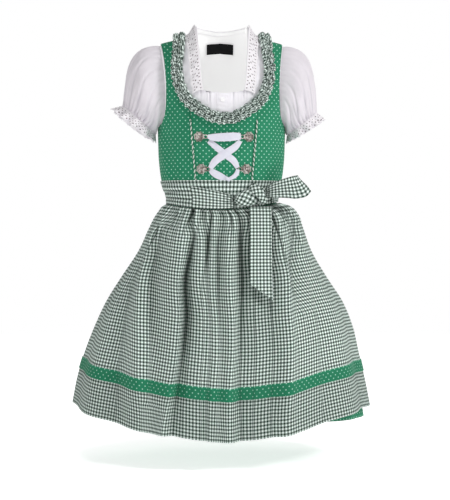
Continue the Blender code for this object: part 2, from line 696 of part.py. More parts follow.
def add_ribbons(white):
    step = FINE_CLOTH + GAP
    for name, (layer, line) in RIBBON_RUNS.items():
        low = TRIM_IN + layer * step
        keyed = [namedtuple("Keyed", "place x level half_width")(i, *p) for i, p in enumerate(line)]
        place = np.linspace(0, len(line) - 1, 7)
        x, level = lookup(keyed, "place", place, "x"), lookup(keyed, "place", place, "level")
        half = lookup(keyed, "place", place, "half_width")
        run = unit(np.stack([np.gradient(x), np.gradient(level)], -1))
        across = np.linspace(-1, 1, 4)[None, :] * half[:, None]
        grid_x = x[:, None] - run[:, 1:] * across
        grid_level = level[:, None] + run[:, :1] * across
        add_panel(name, *on_form(grid_x, grid_level, -1), low, low + FINE_CLOTH, white)
    knot_line = np.array([[0.0035, -0.2290], [0.0062, -0.2315], [0.0095, -0.2335]])
    centre, out = on_form(knot_line[:, 0], knot_line[:, 1], -1)
    tube("ribbon_knot", centre + out * (TRIM_IN + step + 0.0028), 0.0026, 8, white)


# ---- skirt and apron ----------------------------------------------------------------------------


def apron_hem(angle):
    dip = np.clip(np.cos(angle), 0, 1) ** (2.9 + 1.3 * np.sin(angle))
    return HEM_SIDES - HEM_TILT * np.sin(angle) - HEM_FRONT_DIP * dip


def sash_foot(angle):
    """Height where skirt and apron come out from under the sash, lower in front."""
    return -0.2710 - 0.0115 * np.clip(np.cos(angle), 0, 1) ** 2 + 0.0015 * np.sin(angle)


def flare_point(angle, share, hem, out):
    """A point of the skirt's smooth outer shape, moved out along the level normal."""
    angle, share = np.broadcast_arrays(angle, share)
    half_width = lookup(FLARE, "share", share, "half_width")
    half_depth = lookup(FLARE, "share", share, "half_depth")
    bend = 2.2 - 0.2 * np.clip(share * 4, 0, 1)
    reach = (1 - np.abs(np.sin(angle)) ** bend) ** (1 / bend)
    x = lookup(FLARE, "share", share, "middle") + half_width * np.sin(angle)
    y = -half_depth * np.sign(np.cos(angle)) * reach
    away = np.stack([np.sin(angle) / half_width, -np.cos(angle) / half_depth, 0 * angle], -1)
    height = sash_foot(angle) + share * (hem - sash_foot(angle))
    return np.stack([x, y, height], -1) + unit(away) * np.asarray(out)[..., None]


def apron_folds(shares):
    """The turns of the apron's columns, and how far each stands out from the smooth shape, row by row."""
    lines = np.array(APRON_LINES, float)
    rows = []
    for share in shares:
        turn = [np.interp(share, FOLD_SHARES, line[:6]) for line in lines]
        height = [np.interp(share, FOLD_SHARES, line[6:]) / 1000 for line in lines]
        column = np.arange((len(lines) - 1) * COLUMNS_A_FOLD + 1) / COLUMNS_A_FOLD
        step = np.floor(column)
        part = column - step
        eased = step + part**2 * (3 - 2 * part)
        line = np.arange(len(lines))
        rows.append((np.interp(column, line, turn), np.interp(eased, line, np.maximum(height, DEEPEST_FOLD))))
    return np.array(rows).transpose(1, 0, 2)


def gathers(count, place, share, depth):
    """Small gathers of uneven spacing under a band, which die out down the cloth."""
    uneven = place + 0.006 * np.sin(place * 23.0) + 0.004 * np.sin(place * 57.0 + 1.0)
    start = np.clip(share / 0.03, 0, 1)
    fade = start * np.exp(-np.clip(share - 0.03, 0, 1) / 0.13)
    return depth * fade * np.cos(2 * math.pi * count * uneven)


APRON_SHARES = [0.0, 0.05, 0.15, 0.30, 0.54, TRIM_TOP, TRIM_TOP + TRIM_WIDTH, 1.0]
SKIRT_SHARES = [0.05, 0.27, 0.60, 1.0]


def apron_grid(shares):
    degrees, folds = apron_folds(shares)
    share = np.asarray(shares)[:, None]
    place = (degrees - degrees[0, 0]) / (degrees[0, -1] - degrees[0, 0])
    out = np.clip(share / 0.03, 0, 1) * folds + gathers(GATHERS_APRON, place, share, 0.0022)
    angle = np.radians(degrees)
    return flare_point(angle, share, apron_hem(angle), out)


def mitred(grid):
    """Normals of a folded grid, longer where it bends sharply, so that its walls stay as thick there."""
    step = unit(np.diff(grid, axis=1))
    bend = (step[:, 1:] * step[:, :-1]).sum(-1)
    longer = 1 / np.sqrt(np.clip((1 + bend) / 2, 0.45, 1))
    return outward(grid) * np.pad(longer, ((0, 0), (1, 1)), constant_values=1)[..., None]


def add_apron(check, green):
    """The apron's panel, and the trim band that lies on its last rows but one."""
    grid = apron_grid(APRON_SHARES)
    out = mitred(grid)
    wall("apron_panel", grid, grid - out * CLOTH, check)
    band, out = grid[-3:-1], out[-3:-1]
    wall("apron_trim", band + out * (TRIM_OFF + FINE_CLOTH), band + out * TRIM_OFF, green)


def skirt_hem(angle):
    return SKIRT_HEM - SKIRT_HEM_TILT * np.sin(angle)


def skirt_folds(degrees, share):
    """Folds of the skirt's back, which fade out towards the side seams."""
    middle = np.clip((78.0 - np.abs(np.abs(degrees) - 180.0)) / 22.0, 0, 1)
    turn = np.radians(degrees)
    wave = np.cos(13 * turn + 0.9 * np.sin(3 * turn)) + 0.45 * np.cos(21 * turn + 1.3)
    return middle * 0.0065 * share**0.7 * wave


def skirt_inset(degrees, share):
    """How far the skirt lies inside the smooth shape, deeper under the apron's folds than at its edges."""
    off_front = np.abs((degrees + 180.0) % 360.0 - 180.0)
    deep = np.clip((90.0 - off_front) / 14.0, 0, 1)
    under = np.clip((116.0 - off_front) / 8.0, 0, 1)
    return 0.0030 + 0.0034 * under + deep * (0.0025 + 0.0145 * np.clip(share * 7, 0, 1))


def skirt_grid(start, end, columns, shares):
    """Skirt between two angles in degrees round from the front, from the waist seam to the hem."""
    degrees = np.linspace(start, end, columns)[None, :]
    share = np.asarray(shares)[:, None]
    angle = np.radians(degrees)
    out = -skirt_inset(degrees, share)
    if end > 180:
        out = out + skirt_folds(degrees, share) + gathers(GATHERS_SKIRT * 2, degrees / 360.0, share, 0.0018)
    yoke = [skirt_ring(angle[0], WAIST - 0.0012), skirt_ring(angle[0], sash_foot(angle[0]) + GAP)]
    return np.concatenate([yoke, flare_point(angle, share, skirt_hem(angle), out)])


def skirt_ring(angle, level):
    """A ring of the skirt where it hugs the form under the sash."""
    return form_round(angle, level) + round_normals(angle, level) * (BODICE_OUT - SEAM)


def add_skirt(green):
    front = skirt_grid(-90 + PARTING, 90 - PARTING, 23, [0.05, 0.27, 0.6, 1.0])
    layered("skirt_front", front, -CLOTH, 0.0, green)
    columns = GATHERS_SKIRT * COLUMNS_A_GATHER + 1
    back = skirt_grid(90 + PARTING, 270 - PARTING, columns, SKIRT_SHARES)
    layered("skirt_back", back, -CLOTH, 0.0, green)


# ---- sash ---------------------------------------------------------------------------------------


def sash_grid(start, end, columns, top, bottom, rows=3):
    """A band round the waist between two angles in degrees. top and bottom give levels by angle."""
    degrees = np.linspace(start, end, columns)
    angle = np.radians(degrees)[None, :]
    t = np.linspace(0, 1, rows)[:, None]
    level = bottom(degrees)[None, :] + t * (top(degrees) - bottom(degrees))[None, :]
    return form_round(angle, level), round_normals(angle, level)


def band_top(degrees):
    return -0.2322 - 0.0028 * np.clip(np.cos(np.radians(degrees)), 0, 1)


def band_foot(degrees):
    return sash_foot(np.radians(degrees)) + GAP


TIE_FRONT_TURN = (-33.0, 9.0)
TIE_WRAP_TURN = (58.0, 254.0)


def add_sash(check):
    """The apron's waistband, the tie brought across its front, and the tie round the back."""
    band = sash_grid(-104, 91, 33, band_top, band_foot, rows=5)
    add_panel("apron_waistband", *band, BAND_IN, BAND_OUT, check)
    share = lambda d: (d - TIE_FRONT_TURN[0]) / (TIE_FRONT_TURN[1] - TIE_FRONT_TURN[0])
    front = sash_grid(*TIE_FRONT_TURN, 9, lambda d: -0.2428 - 0.0150 * share(d) ** 1.3,
                      lambda d: band_foot(d) + 0.0010 * share(d) ** 2)
    add_panel("tie_front", *front, TIE_IN, TIE_OUT, check)
    wrap = sash_grid(*TIE_WRAP_TURN, 35, lambda d: -0.2470 + 0.0030 * np.cos(np.radians(d - 150)),
                     lambda d: band_foot(d) + 0.0006)
    add_panel("tie_wrap", *wrap, TIE_IN, TIE_OUT, check)


# ---- bow ----------------------------------------------------------------------------------------

# Sections of the knot along its length.
KnotRing = namedtuple("KnotRing", "x y height half_height half_thick")
KNOT = [
    KnotRing(0.0165, -0.0787, -0.2662, 0.0052, 0.0020),
    KnotRing(0.0250, -0.0793, -0.2651, 0.0105, 0.0042),
    KnotRing(0.0380, -0.0779, -0.2622, 0.0145, 0.0060),
    KnotRing(0.0510, -0.0749, -0.2595, 0.0162, 0.0068),
    KnotRing(0.0620, -0.0702, -0.2580, 0.0148, 0.0058),
    KnotRing(0.0700, -0.0662, -0.2565, 0.0105, 0.0034),
]


def add_knot(check):
    turn = np.linspace(0, 2 * math.pi, 14, endpoint=False)
    rings = []
    for ring in KNOT:
        thick = FRONT * ring.half_thick * np.cos(turn)[:, None]
        high = UP * ring.half_height * np.sin(turn)[:, None]
        rings.append(np.array([ring.x, ring.y, ring.height]) + thick + high)
    loft("bow_knot", np.array(rings), check)


# The bow's loop: a strip that runs out from the knot, turns, and comes back behind itself.
# place runs along the strip; x, y and height are its middle line, half_width and tilt its cross line.
LoopPoint = namedtuple("LoopPoint", "place x y height half_width slant")
BOW_LOOP = [
    LoopPoint(0.00, 0.0705, -0.0664, -0.2530, 0.0088, 0.000),
    LoopPoint(0.10, 0.0815, -0.0708, -0.2498, 0.0124, 0.000),
    LoopPoint(0.24, 0.1010, -0.0755, -0.2468, 0.0158, 0.002),
    LoopPoint(0.38, 0.1190, -0.0760, -0.2450, 0.0184, 0.005),
    LoopPoint(0.47, 0.1335, -0.0735, -0.2425, 0.0172, 0.010),
    LoopPoint(0.50, 0.1375, -0.0700, -0.2415, 0.0162, 0.012),
    LoopPoint(0.53, 0.1330, -0.0660, -0.2428, 0.0166, 0.010),
    LoopPoint(0.64, 0.1180, -0.0640, -0.2456, 0.0172, 0.005),
    LoopPoint(0.78, 0.1010, -0.0625, -0.2480, 0.0145, 0.002),
    LoopPoint(0.90, 0.0880, -0.0610, -0.2502, 0.0114, 0.000),
    LoopPoint(1.00, 0.0800, -0.0595, -0.2520, 0.0090, 0.000),
]


def bow_loop_grid(along=19, across=5):
    place = np.linspace(0, 1, along)
    names = ("x", "y", "height", "half_width", "slant")
    x, y, height, half, slant = (lookup(BOW_LOOP, "place", place, name)[:, None] for name in names)
    s = np.linspace(-1, 1, across)[None, :]
    return np.stack([x - slant * s, y + 0 * s, height + half * s], -1)


# The bow's tail hangs from the knot over the apron.
TAIL_TOP = -0.2775
TAIL_END_INNER, TAIL_END_OUTER = -0.4035, -0.4285  # heights of its cut end's corners
TAIL_TOP_X, TAIL_END_X = (0.0425, 0.0780), (0.0391, 0.0755)
TAIL_OFF = 0.0072  # how far it stands off the apron's smooth shape
TAIL_TOP_OFF = 0.0150  # how much further its outer top corner does


def tail_grid(rows=10, columns=5):
    s, t = np.linspace(0, 1, columns)[None, :], np.linspace(0, 1, rows)[:, None]
    end = TAIL_END_INNER + (TAIL_END_OUTER - TAIL_END_INNER) * s
    height = TAIL_TOP + t * (end - TAIL_TOP)
    inner = TAIL_TOP_X[0] + t * (TAIL_END_X[0] - TAIL_TOP_X[0])
    outer = TAIL_TOP_X[1] + t * (TAIL_END_X[1] - TAIL_TOP_X[1])
    x = inner + (outer - inner) * s
    share = (height - sash_foot(0.5)) / (apron_hem(0.4) - sash_foot(0.5))
    half_width = lookup(FLARE, "share", share, "half_width")
    half_depth = lookup(FLARE, "share", share, "half_depth")
    middle = lookup(FLARE, "share", share, "middle")
    lift = TAIL_OFF + TAIL_TOP_OFF * s * np.exp(-t / 0.12)
    return np.stack([x, -half_depth * np.sqrt(1 - ((x - middle) / half_width) ** 2) - lift, height], -1)


def add_bow(check):
    add_knot(check)
    loop = bow_loop_grid()
    n = normals(loop)
    half = FINE_CLOTH / 2
    wall("bow_loop", loop + n * half, loop - n * half, check)
    layered("bow_tail", tail_grid(), 0.0, FINE_CLOTH, check)


# ---- blouse -------------------------------------------------------------------------------------


BLOUSE_BACK_COLUMNS = [0.0, 0.18, 0.36, 0.52, 0.68, 0.84, 1.0]  # shares of the way to the armhole


def blouse_back_grid():
    rungs = BLOUSE_BACK_RUNGS
    reach = np.array([side_angle(r.outer_x, r.outer_level) for r in rungs])[:, None]
    halves = np.array(BLOUSE_BACK_COLUMNS)
    angle = reach * np.concatenate([-halves[:0:-1], halves])[None, :]
    level = column(rungs, "outer_level")[:, None] + 0 * angle
    x = lookup(TORSO, "level", level, "half_width") * np.sin(angle)
    share = np.clip(1 - level / BACK_NECK_FOOT, 0, 1)
    return on_form(x, level + back_neck_edge(x) * share, 1)


def back_neck_edge(x):
    """Level of the blouse's back neckline."""
    return -BACK_NECK_DIP * np.clip(1 - (x / BACK_NECK_REACH) ** 2, 0, 1)


def add_blouse_body(white):
    for side, hand in (("left", 1), ("right", -1)):
        points, out = ladder(BLOUSE_FRONT_RUNGS, hand, -1, 6)
        points = part_at_seams(points, hand, -1)
        add_panel(f"blouse_front_{side}", points, out, BLOUSE_IN, BLOUSE_OUT, white)
    points, out = blouse_back_grid()
    on_side = np.isclose(points[:, 0, 1], 0, atol=2e-4)
    points[on_side, 0, 1] += SEAM
    points[on_side, -1, 1] += SEAM
    points[-1, :, 1] += SEAM
    add_panel("blouse_back", points, out, BLOUSE_IN, BLOUSE_OUT, white)


PLACKET = (-0.0110, 0.0070)  # its edges, across
PLACKET_LEVELS = (-0.1275, -0.1035)
BUTTON_RADIUS, BUTTON_THICKNESS = 0.0042, 0.0014
BUTTON_PLACE = (-0.0020, -0.1120)


def add_placket(white):
    x = np.linspace(*PLACKET, 4)[None, :]
    level = np.linspace(*PLACKET_LEVELS, 5)[:, None]
    low = BLOUSE_OUT + GAP
    add_panel("blouse_placket", *on_form(x, level, -1), low, low + 0.0008, white)
    centre, out = on_form(*BUTTON_PLACE, -1)
    base = centre + out * (low + 0.0008 + 0.0003)
    line = base + out * np.linspace(0, BUTTON_THICKNESS, 3)[:, None]
    side = unit(np.cross(out, [0, 0, 1.0]))
    up = np.cross(side, out)
    turn = np.linspace(0, 2 * math.pi, 20, endpoint=False)
    spoke = side * np.cos(turn)[:, None] + up * np.sin(turn)[:, None]
    radii = BUTTON_RADIUS * np.array([0.94, 1.0, 0.90])
    loft("blouse_button", line[:, None] + spoke[None] * radii[:, None, None], white)


LACE_WIDTH = 0.0170
LACE_SHOULDER_LIFT = 0.0020  # it stands this much higher on the shoulder, which is hollow there
LACE_WAVES = 6


def neck_lace_grid(hand, columns=4, steps=3):
    """Ruffled lace that lies along the blouse's front neckline, from the neck side down."""
    rungs = [r for r in BLOUSE_FRONT_RUNGS if r.inner_x > 0.033]
    place = np.linspace(0, len(rungs) - 1, LACE_WAVES * steps + 1)
    level = np.interp(place, range(len(rungs)), column(rungs, "inner_level"))[:, None]
    x = np.interp(place, range(len(rungs)), column(rungs, "inner_x"))[:, None]
    t = place[:, None] / (len(rungs) - 1)
    s = np.linspace(0, 1, columns)[None, :]
    width = LACE_WIDTH * (1.0 - 0.10 * t) * s
    grid, n = on_form(hand * (x + width), level, -1)
    wave = 0.0011 * (1 + np.cos(2 * math.pi * LACE_WAVES * t)) * s
    return grid, n, wave


def add_neck_lace(white):
    for side, hand in (("left", 1), ("right", -1)):
        grid, n, wave = neck_lace_grid(hand)
        low = BLOUSE_OUT + GAP + wave + LACE_SHOULDER_LIFT * np.exp(-((grid[..., 1] / 0.045) ** 2))
        high = low + FINE_CLOTH
        wall(f"neck_lace_{side}", grid + n * high[..., None], grid + n * low[..., None], white)


BINDING_WIDTH = 0.0045


def add_back_neck(white, black):
    """Binding inside the back neckline, and the two blank woven labels under it."""
    points, out = blouse_back_grid()
    middle = points.shape[1] // 2
    points, out = points[-2:, middle - 2 : middle + 3], out[-2:, middle - 2 : middle + 3]
    width = np.linalg.norm(points[1] - points[0], axis=-1, keepdims=True)
    strip = np.stack([points[1] + (points[0] - points[1]) * BINDING_WIDTH / width, points[1]])
    low = BLOUSE_IN - GAP - 0.0009
    add_panel("neck_binding", strip, out, low, low + 0.0009, white)
    high, low = BLOUSE_IN - 0.0012, BLOUSE_IN - 0.0021
    for name, half, levels, material in (
        ("neck_label", 0.0235, (-0.0440, -0.0310), black),
        ("size_tab", 0.0085, (-0.0500, -0.0450), white),
    ):
        x = np.linspace(-half, half, 5)[None, :]
        level = np.linspace(*levels, 3)[:, None]
        add_panel(name, *on_form(x, level, 1), low, high, material)


# ---- sleeves ------------------------------------------------------------------------------------


def armhole_ring(count, hand):
    """Points round the blouse's armhole: from the underarm up the front, over, and down the back."""
    half = count // 2
    front = blouse_edge(BLOUSE_FRONT_RUNGS[2:], half + 1, -1)
    back = blouse_edge(BLOUSE_BACK_RUNGS[2:], half + 1, 1)
    ring = np.concatenate([front[:-1], back[::-1][:-1]])
    return ring * (hand, 1, 1)


def blouse_edge(rungs, count, face):
    """Points evenly spaced along a blouse panel's outer edge, just past the middle of its wall."""
    dense = np.linspace(0, len(rungs) - 1, 200)
    level = np.interp(dense, range(len(rungs)), column(rungs, "outer_level"))
    ends = [side_angle(r.outer_x, r.outer_level) for r in rungs]
    angle = np.interp(dense, range(len(rungs)), ends)
    line, out = on_form(lookup(TORSO, "level", level, "half_width") * np.sin(angle), level, face)
    line = line + out * BLOUSE_OUT
    length = np.concatenate([[0], np.cumsum(np.linalg.norm(np.diff(line, axis=0), axis=1))])
    at = np.linspace(0, length[-1], count)
    return np.stack([np.interp(at, length, line[:, k]) for k in range(3)], -1)


def cuff_frame(cuff):
    """A cuff's middle, its direction towards the body, its direction down the arm, and its half length."""
    outer, inner = np.array([cuff.outer_x, 0, cuff.outer_z]), np.array([cuff.inner_x, 0, cuff.inner_z])
    half = np.linalg.norm(inner - outer) / 2
    across = (inner - outer) / (2 * half)
    down = np.cross(across, [0, math.copysign(1.0, cuff.outer_x), 0])
    return (outer + inner) / 2, across, down, half


def sleeve_grid(cuff, count, rows):
    """A sleeve's surface, puffed between armhole and cuff, as one curve for each point round."""
    hand = math.copysign(1.0, cuff.outer_x)
    start = armhole_ring(count, hand) + (hand * 2 * SEAM, 0, 0)
    middle, across, down, half = cuff_frame(cuff)
    turn = np.linspace(0, 2 * math.pi, count, endpoint=False)[:, None]
    radial = across * np.cos(turn) + FRONT * np.sin(turn)
    end = middle + across * half * np.cos(turn) + FRONT * CUFF_HALF_DEPTH * np.sin(turn)
    top = (1 - np.cos(turn)) / 2
    flank = np.abs(np.sin(turn))
    first = start + np.array([hand, 0, 0]) * (0.008 + 0.043 * top**1.2) + FRONT * np.sin(turn) * 0.014
    first = first + np.array([0, 0, 1.0]) * 0.006 * top**2
    second = end - down * (0.004 + 0.036 * top) + radial * (0.001 + 0.030 * top + 0.010 * flank)
    t = np.linspace(0, 1, rows)[:, None, None]
    curve = (1 - t) ** 3 * start + 3 * t * (1 - t) ** 2 * first + 3 * t**2 * (1 - t) * second + t**3 * end
    share, around = t[..., 0], turn[None, :, 0]
    fade = (0.35 * np.exp(-share / 0.15) + np.exp(-(1 - share) / 0.22)) * (share > 0)
    ripple = 0.0016 * fade * np.cos(SLEEVE_GATHERS * around) * np.clip(np.sin(around / 2) * 1.6, 0, 1)
    return curve + tube_normals(curve) * ripple[..., None]


def ruffle_grid(cuff, count, rows):
    """A sleeve's ruffle, from the cuff seam out to its scalloped edge, hanging plumb on the inner side."""
    middle, across, down, half = cuff_frame(cuff)
    turn = np.linspace(0, 2 * math.pi, count, endpoint=False)[None, :, None]
    t = np.linspace(0, 1, rows)[:, None, None]
    radial = across * np.cos(turn) + FRONT * np.sin(turn)
    inner = (1 + np.cos(turn)) / 2
    edge = middle + across * half * np.cos(turn) + FRONT * CUFF_HALF_DEPTH * np.sin(turn)
    reach = RUFFLE_LENGTH * t * (1 + 0.05 * np.cos(2 * RUFFLE_WAVES * turn) * t)
    lean = cuff.lean + (0.62 - cuff.lean) * inner
    wave = 0.0030 * np.cos(RUFFLE_WAVES * turn) * t**0.8 * (1 - 0.5 * inner)
    return edge + down * (2 * SEAM + reach * np.sqrt(1 - lean**2)) + radial * (reach * lean + wave)


def tube_normals(grid):
    """Normals of a closed tube's grid, away from its middle line."""
    n = normals(grid, True)
    return n if (n * (grid - grid.mean(1, keepdims=True))).sum() > 0 else -n


def add_sleeves(white):
    for cuff in CUFFS:
        sleeve = sleeve_grid(cuff, SLEEVE_GATHERS * 3, 6)
        ruffle = ruffle_grid(cuff, RUFFLE_WAVES * 3, 3)
        for name, grid in (("sleeve", sleeve), ("sleeve_ruffle", ruffle)):
            inner = grid - tube_normals(grid) * FINE_CLOTH
            wall(f"{name}_{cuff.side}", grid, inner, white, closed=True)


def main():
    for old in list(bpy.data.objects):
        bpy.data.objects.remove(old)
    green = cloth_material("dotted_cotton", GREEN)
    check = cloth_material("gingham_cotton", CHECK)
    white = cloth_material("blouse_batiste", WHITE)
    satin = cloth_material("satin_ribbon", WHITE, roughness=0.35)
    silver = cloth_material("antique_silver", SILVER, roughness=0.4, metallic=0.9)
    black = cloth_material("woven_label", BLACK, roughness=0.6)
    add_bodice(green)
    add_piping(white)
    loft("neck_frill", frill_rings(), check, closed=True)
    add_hooks(silver)
    add_ribbons(satin)
    add_skirt(green)
    add_apron(check, green)
    add_sash(check)
    add_bow(check)
    add_blouse_body(white)
    add_placket(white)
    add_neck_lace(white)
    add_back_neck(white, black)
    add_sleeves(white)


main()
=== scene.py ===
"""Looks of the child's dirndl set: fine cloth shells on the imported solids' forms, with woven materials.

Metres, +Z up, the front faces -Y. A "level" is a height on the body form, 0 on the shoulder ridge.
"""

import math
from collections import namedtuple

import bpy
import numpy as np
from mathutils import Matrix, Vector


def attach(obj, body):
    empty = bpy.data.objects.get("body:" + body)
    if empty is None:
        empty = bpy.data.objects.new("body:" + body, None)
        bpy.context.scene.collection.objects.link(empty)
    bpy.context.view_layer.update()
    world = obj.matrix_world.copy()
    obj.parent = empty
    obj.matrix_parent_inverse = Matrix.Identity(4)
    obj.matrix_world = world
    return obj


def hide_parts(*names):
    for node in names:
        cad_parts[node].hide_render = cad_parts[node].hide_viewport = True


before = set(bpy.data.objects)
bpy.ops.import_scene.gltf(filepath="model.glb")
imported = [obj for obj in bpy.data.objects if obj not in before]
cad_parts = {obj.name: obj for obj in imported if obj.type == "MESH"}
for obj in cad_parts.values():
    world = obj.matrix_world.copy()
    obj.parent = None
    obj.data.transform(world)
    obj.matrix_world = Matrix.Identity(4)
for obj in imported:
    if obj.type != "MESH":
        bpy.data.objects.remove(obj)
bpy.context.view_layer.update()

# ---- the body form, as in the solids ------------------------------------------------------------

WAIST, CHEST = -0.262, -0.150
GAP, SEAM, SEWN = 0.0004, 0.0003, 0.00003  # between layers, beside a seam, and in a sewn one
DOME, ROUND = 2.1, 2.2  # how full the form's shoulders and its sections are
NUDGE, NUDGE_TURN = 0.0008, 0.01  # the steps its normals are measured over
BLOUSE_IN, BLOUSE_OUT = -0.0025, -0.0014
BODICE_IN, BODICE_OUT = 0.0006, 0.0021
TRIM_IN = BODICE_OUT + GAP
BAND_IN, BAND_OUT = 0.0029, 0.0044
TIE_IN, TIE_OUT = 0.0052, 0.0067
NECK_HALF_WIDTH, NECK_TURN, NECK_DROP = 0.0690, -0.050, 0.0804
SIDE = 1.0  # an x past the form's side, which stands for the side seam
FRONT, UP = np.array([0, -1.0, 0]), np.array([0, 0, 1.0])
HANDS = (("left", 1), ("right", -1))  # the wearer's, with the sign of x


def rows_of(kind, rows):
    return [kind(*row) for row in rows]


Section = namedtuple("Section", "level half_width half_depth")
TORSO = rows_of(Section, [
    (-0.300, 0.0960, 0.0765), (-0.285, 0.0920, 0.0730), (-0.262, 0.0900, 0.0715),
    (-0.235, 0.0990, 0.0750), (-0.200, 0.1040, 0.0775), (-0.165, 0.1055, 0.0795),
    (-0.140, 0.1065, 0.0800), (-0.100, 0.1120, 0.0800), (-0.060, 0.1180, 0.0800),
    (0.000, 0.1240, 0.0800),
])
Ridge = namedtuple("Ridge", "away height")
RIDGE = rows_of(Ridge, [
    (0.000, 0.0450), (0.030, 0.0395), (0.045, 0.0300), (0.053, 0.0155), (0.062, 0.0080),
    (0.074, 0.0040), (0.085, 0.0015), (0.105, -0.0035), (0.130, -0.0100),
])


def column(rows, name):
    return np.array([getattr(row, name) for row in rows], float)


def hermite(x, y, slope, at):
    """A curve through y at x with the given slopes, read at the given places and level past its ends."""
    at = np.clip(at, x[0], x[-1])
    i = np.clip(np.searchsorted(x, at, side="right") - 1, 0, len(x) - 2)
    step = x[i + 1] - x[i]
    s = (at - x[i]) / step
    start = (1 + 2 * s) * (1 - s) ** 2 * y[i] + s * (1 - s) ** 2 * step * slope[i]
    return start + s**2 * (3 - 2 * s) * y[i + 1] + s**2 * (s - 1) * step * slope[i + 1]


def smooth(x, y, at):
    """A smooth curve through y at x, read at the given places."""
    return hermite(x, y, np.gradient(y, x), at)


def lookup(rows, key, at, name):
    return smooth(column(rows, key), column(rows, name), at)


def between_rows(table, count):
    """Smooth values of every column of a table at even places between its rows, and those places."""
    key, place = np.arange(len(table), dtype=float), np.linspace(0, len(table) - 1, count)
    return [smooth(key, column(table, name), place) for name in table[0]._fields], place


def bell(away, reach):
    """1 at no distance, falling off smoothly to both sides."""
    return np.exp(-((away / reach) ** 2))


def full_turn(count):
    return np.linspace(0, 2 * math.pi, count, endpoint=False)


def paired(*parts):
    """Coordinates side by side in the last axis."""
    return np.stack(np.broadcast_arrays(*parts), -1)


def half_width_at(level):
    return lookup(TORSO, "level", level, "half_width")


def form(x, level, face):
    """Points of the body form. face is -1 for the front and 1 for the back."""
    x, level = np.broadcast_arrays(np.asarray(x, float), np.asarray(level, float))
    rise = np.clip((level - CHEST) / -CHEST, 0, 1)
    half_depth = lookup(TORSO, "level", level, "half_depth") * (1 - rise**DOME) ** (1 / DOME)
    across = np.clip(np.abs(x) / half_width_at(level), 0, 1)
    y = face * half_depth * (1 - across**ROUND) ** (1 / ROUND)
    height = CHEST + rise * (lookup(RIDGE, "away", np.abs(x), "height") - CHEST)
    return np.stack([x, y, np.where(level < CHEST, level, height)], -1)


def side_angle(x, level):
    return np.arcsin(np.clip(x / half_width_at(level), -1, 1))


def form_round(turn, level):
    turn, level = np.broadcast_arrays(turn, level)
    return form(half_width_at(level) * np.sin(turn), level, np.where(np.cos(turn) >= 0, -1, 1))


def round_normals(turn, level):
    across = form_round(turn + NUDGE_TURN, level) - form_round(turn - NUDGE_TURN, level)
    up = form_round(turn, np.minimum(level + NUDGE, 0)) - form_round(turn, level - NUDGE)
    return unit(np.cross(across, up))


def on_form(x, level, face):
    """Points of the body form at an x and a level, and their normals."""
    x, level = np.broadcast_arrays(np.asarray(x, float), np.asarray(level, float))
    angle = side_angle(x, level)
    return form(x, level, face), round_normals(angle if face < 0 else math.pi - angle, level)


def unit(vectors):
    return vectors / np.maximum(np.linalg.norm(vectors, axis=-1, keepdims=True), 1e-12)


def normals(grid, closed=False):
    """Unit normals of a grid of points, rows up and columns round."""
    if closed:
        wide = np.concatenate([grid[:, -1:], grid, grid[:, :1]], 1)
        along = (wide[:, 2:] - wide[:, :-2]) / 2
    else:
        along = np.gradient(grid, axis=1)
    return unit(np.cross(along, np.gradient(grid, axis=0)))


def facing(n, away):
    """Normals, all turned over if on the whole they point against the given directions."""
    return n if (n * away).sum() > 0 else -n


def outward(grid):
    return facing(normals(grid), grid * (1, 1, 0))


def tube_normals(grid):
    return facing(normals(grid, True), grid - grid.mean(1, keepdims=True))


def arc(points):
    """Length along a line of points, from its start to each point."""
    return np.concatenate([[0], np.cumsum(np.linalg.norm(np.diff(points, axis=0), axis=1))])


# ---- meshes -------------------------------------------------------------------------------------


def make_object(name, points, loops, counts, uvs, material, slots=None, sharp=50, shade=None):
    """A mesh from flat arrays, with its texture places in metres.

    material is one material or a list that slots picks from. shade is the painted shade each point takes, 0
    to 1, kept as fold_shade, and sharp the degrees of bend past which an edge isn't smoothed."""
    mesh = bpy.data.meshes.new(name)
    mesh.vertices.add(len(points))
    mesh.vertices.foreach_set("co", np.asarray(points, np.float32).ravel())
    mesh.loops.add(len(loops))
    mesh.loops.foreach_set("vertex_index", np.asarray(loops, np.int32))
    mesh.polygons.add(len(counts))
    starts = np.concatenate([[0], np.cumsum(counts)[:-1]])
    mesh.polygons.foreach_set("loop_start", np.asarray(starts, np.int32))
    layer = mesh.uv_layers.new(name="cloth")
    layer.data.foreach_set("uv", np.asarray(uvs, np.float32).ravel())
    for each in material if isinstance(material, list) else [material]:
        mesh.materials.append(each)
    if slots is not None:
        mesh.polygons.foreach_set("material_index", np.asarray(slots, np.int32))
    if shade is not None:
        attribute = mesh.attributes.new("fold_shade", "FLOAT", "POINT")
        attribute.data.foreach_set("value", np.asarray(shade, np.float32).ravel())
    mesh.update(calc_edges=True)
    mesh.validate()
    mesh.shade_smooth()
    mesh.set_sharp_from_angle(angle=math.radians(sharp))
    made = bpy.data.objects.new(name, mesh)
    bpy.context.scene.collection.objects.link(made)
    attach(made, "root")
    return made


def quads(rows, cells, wide):
    """Corner numbers of a grid's cells, and the cells' rows and columns. Each row has `wide` points."""
    r, c = (a.ravel() for a in np.mgrid[0:rows, 0:cells])
    right = (c + 1) % wide
    return np.stack([r * wide + c, r * wide + right, (r + 1) * wide + right, (r + 1) * wide + c], 1), r, c


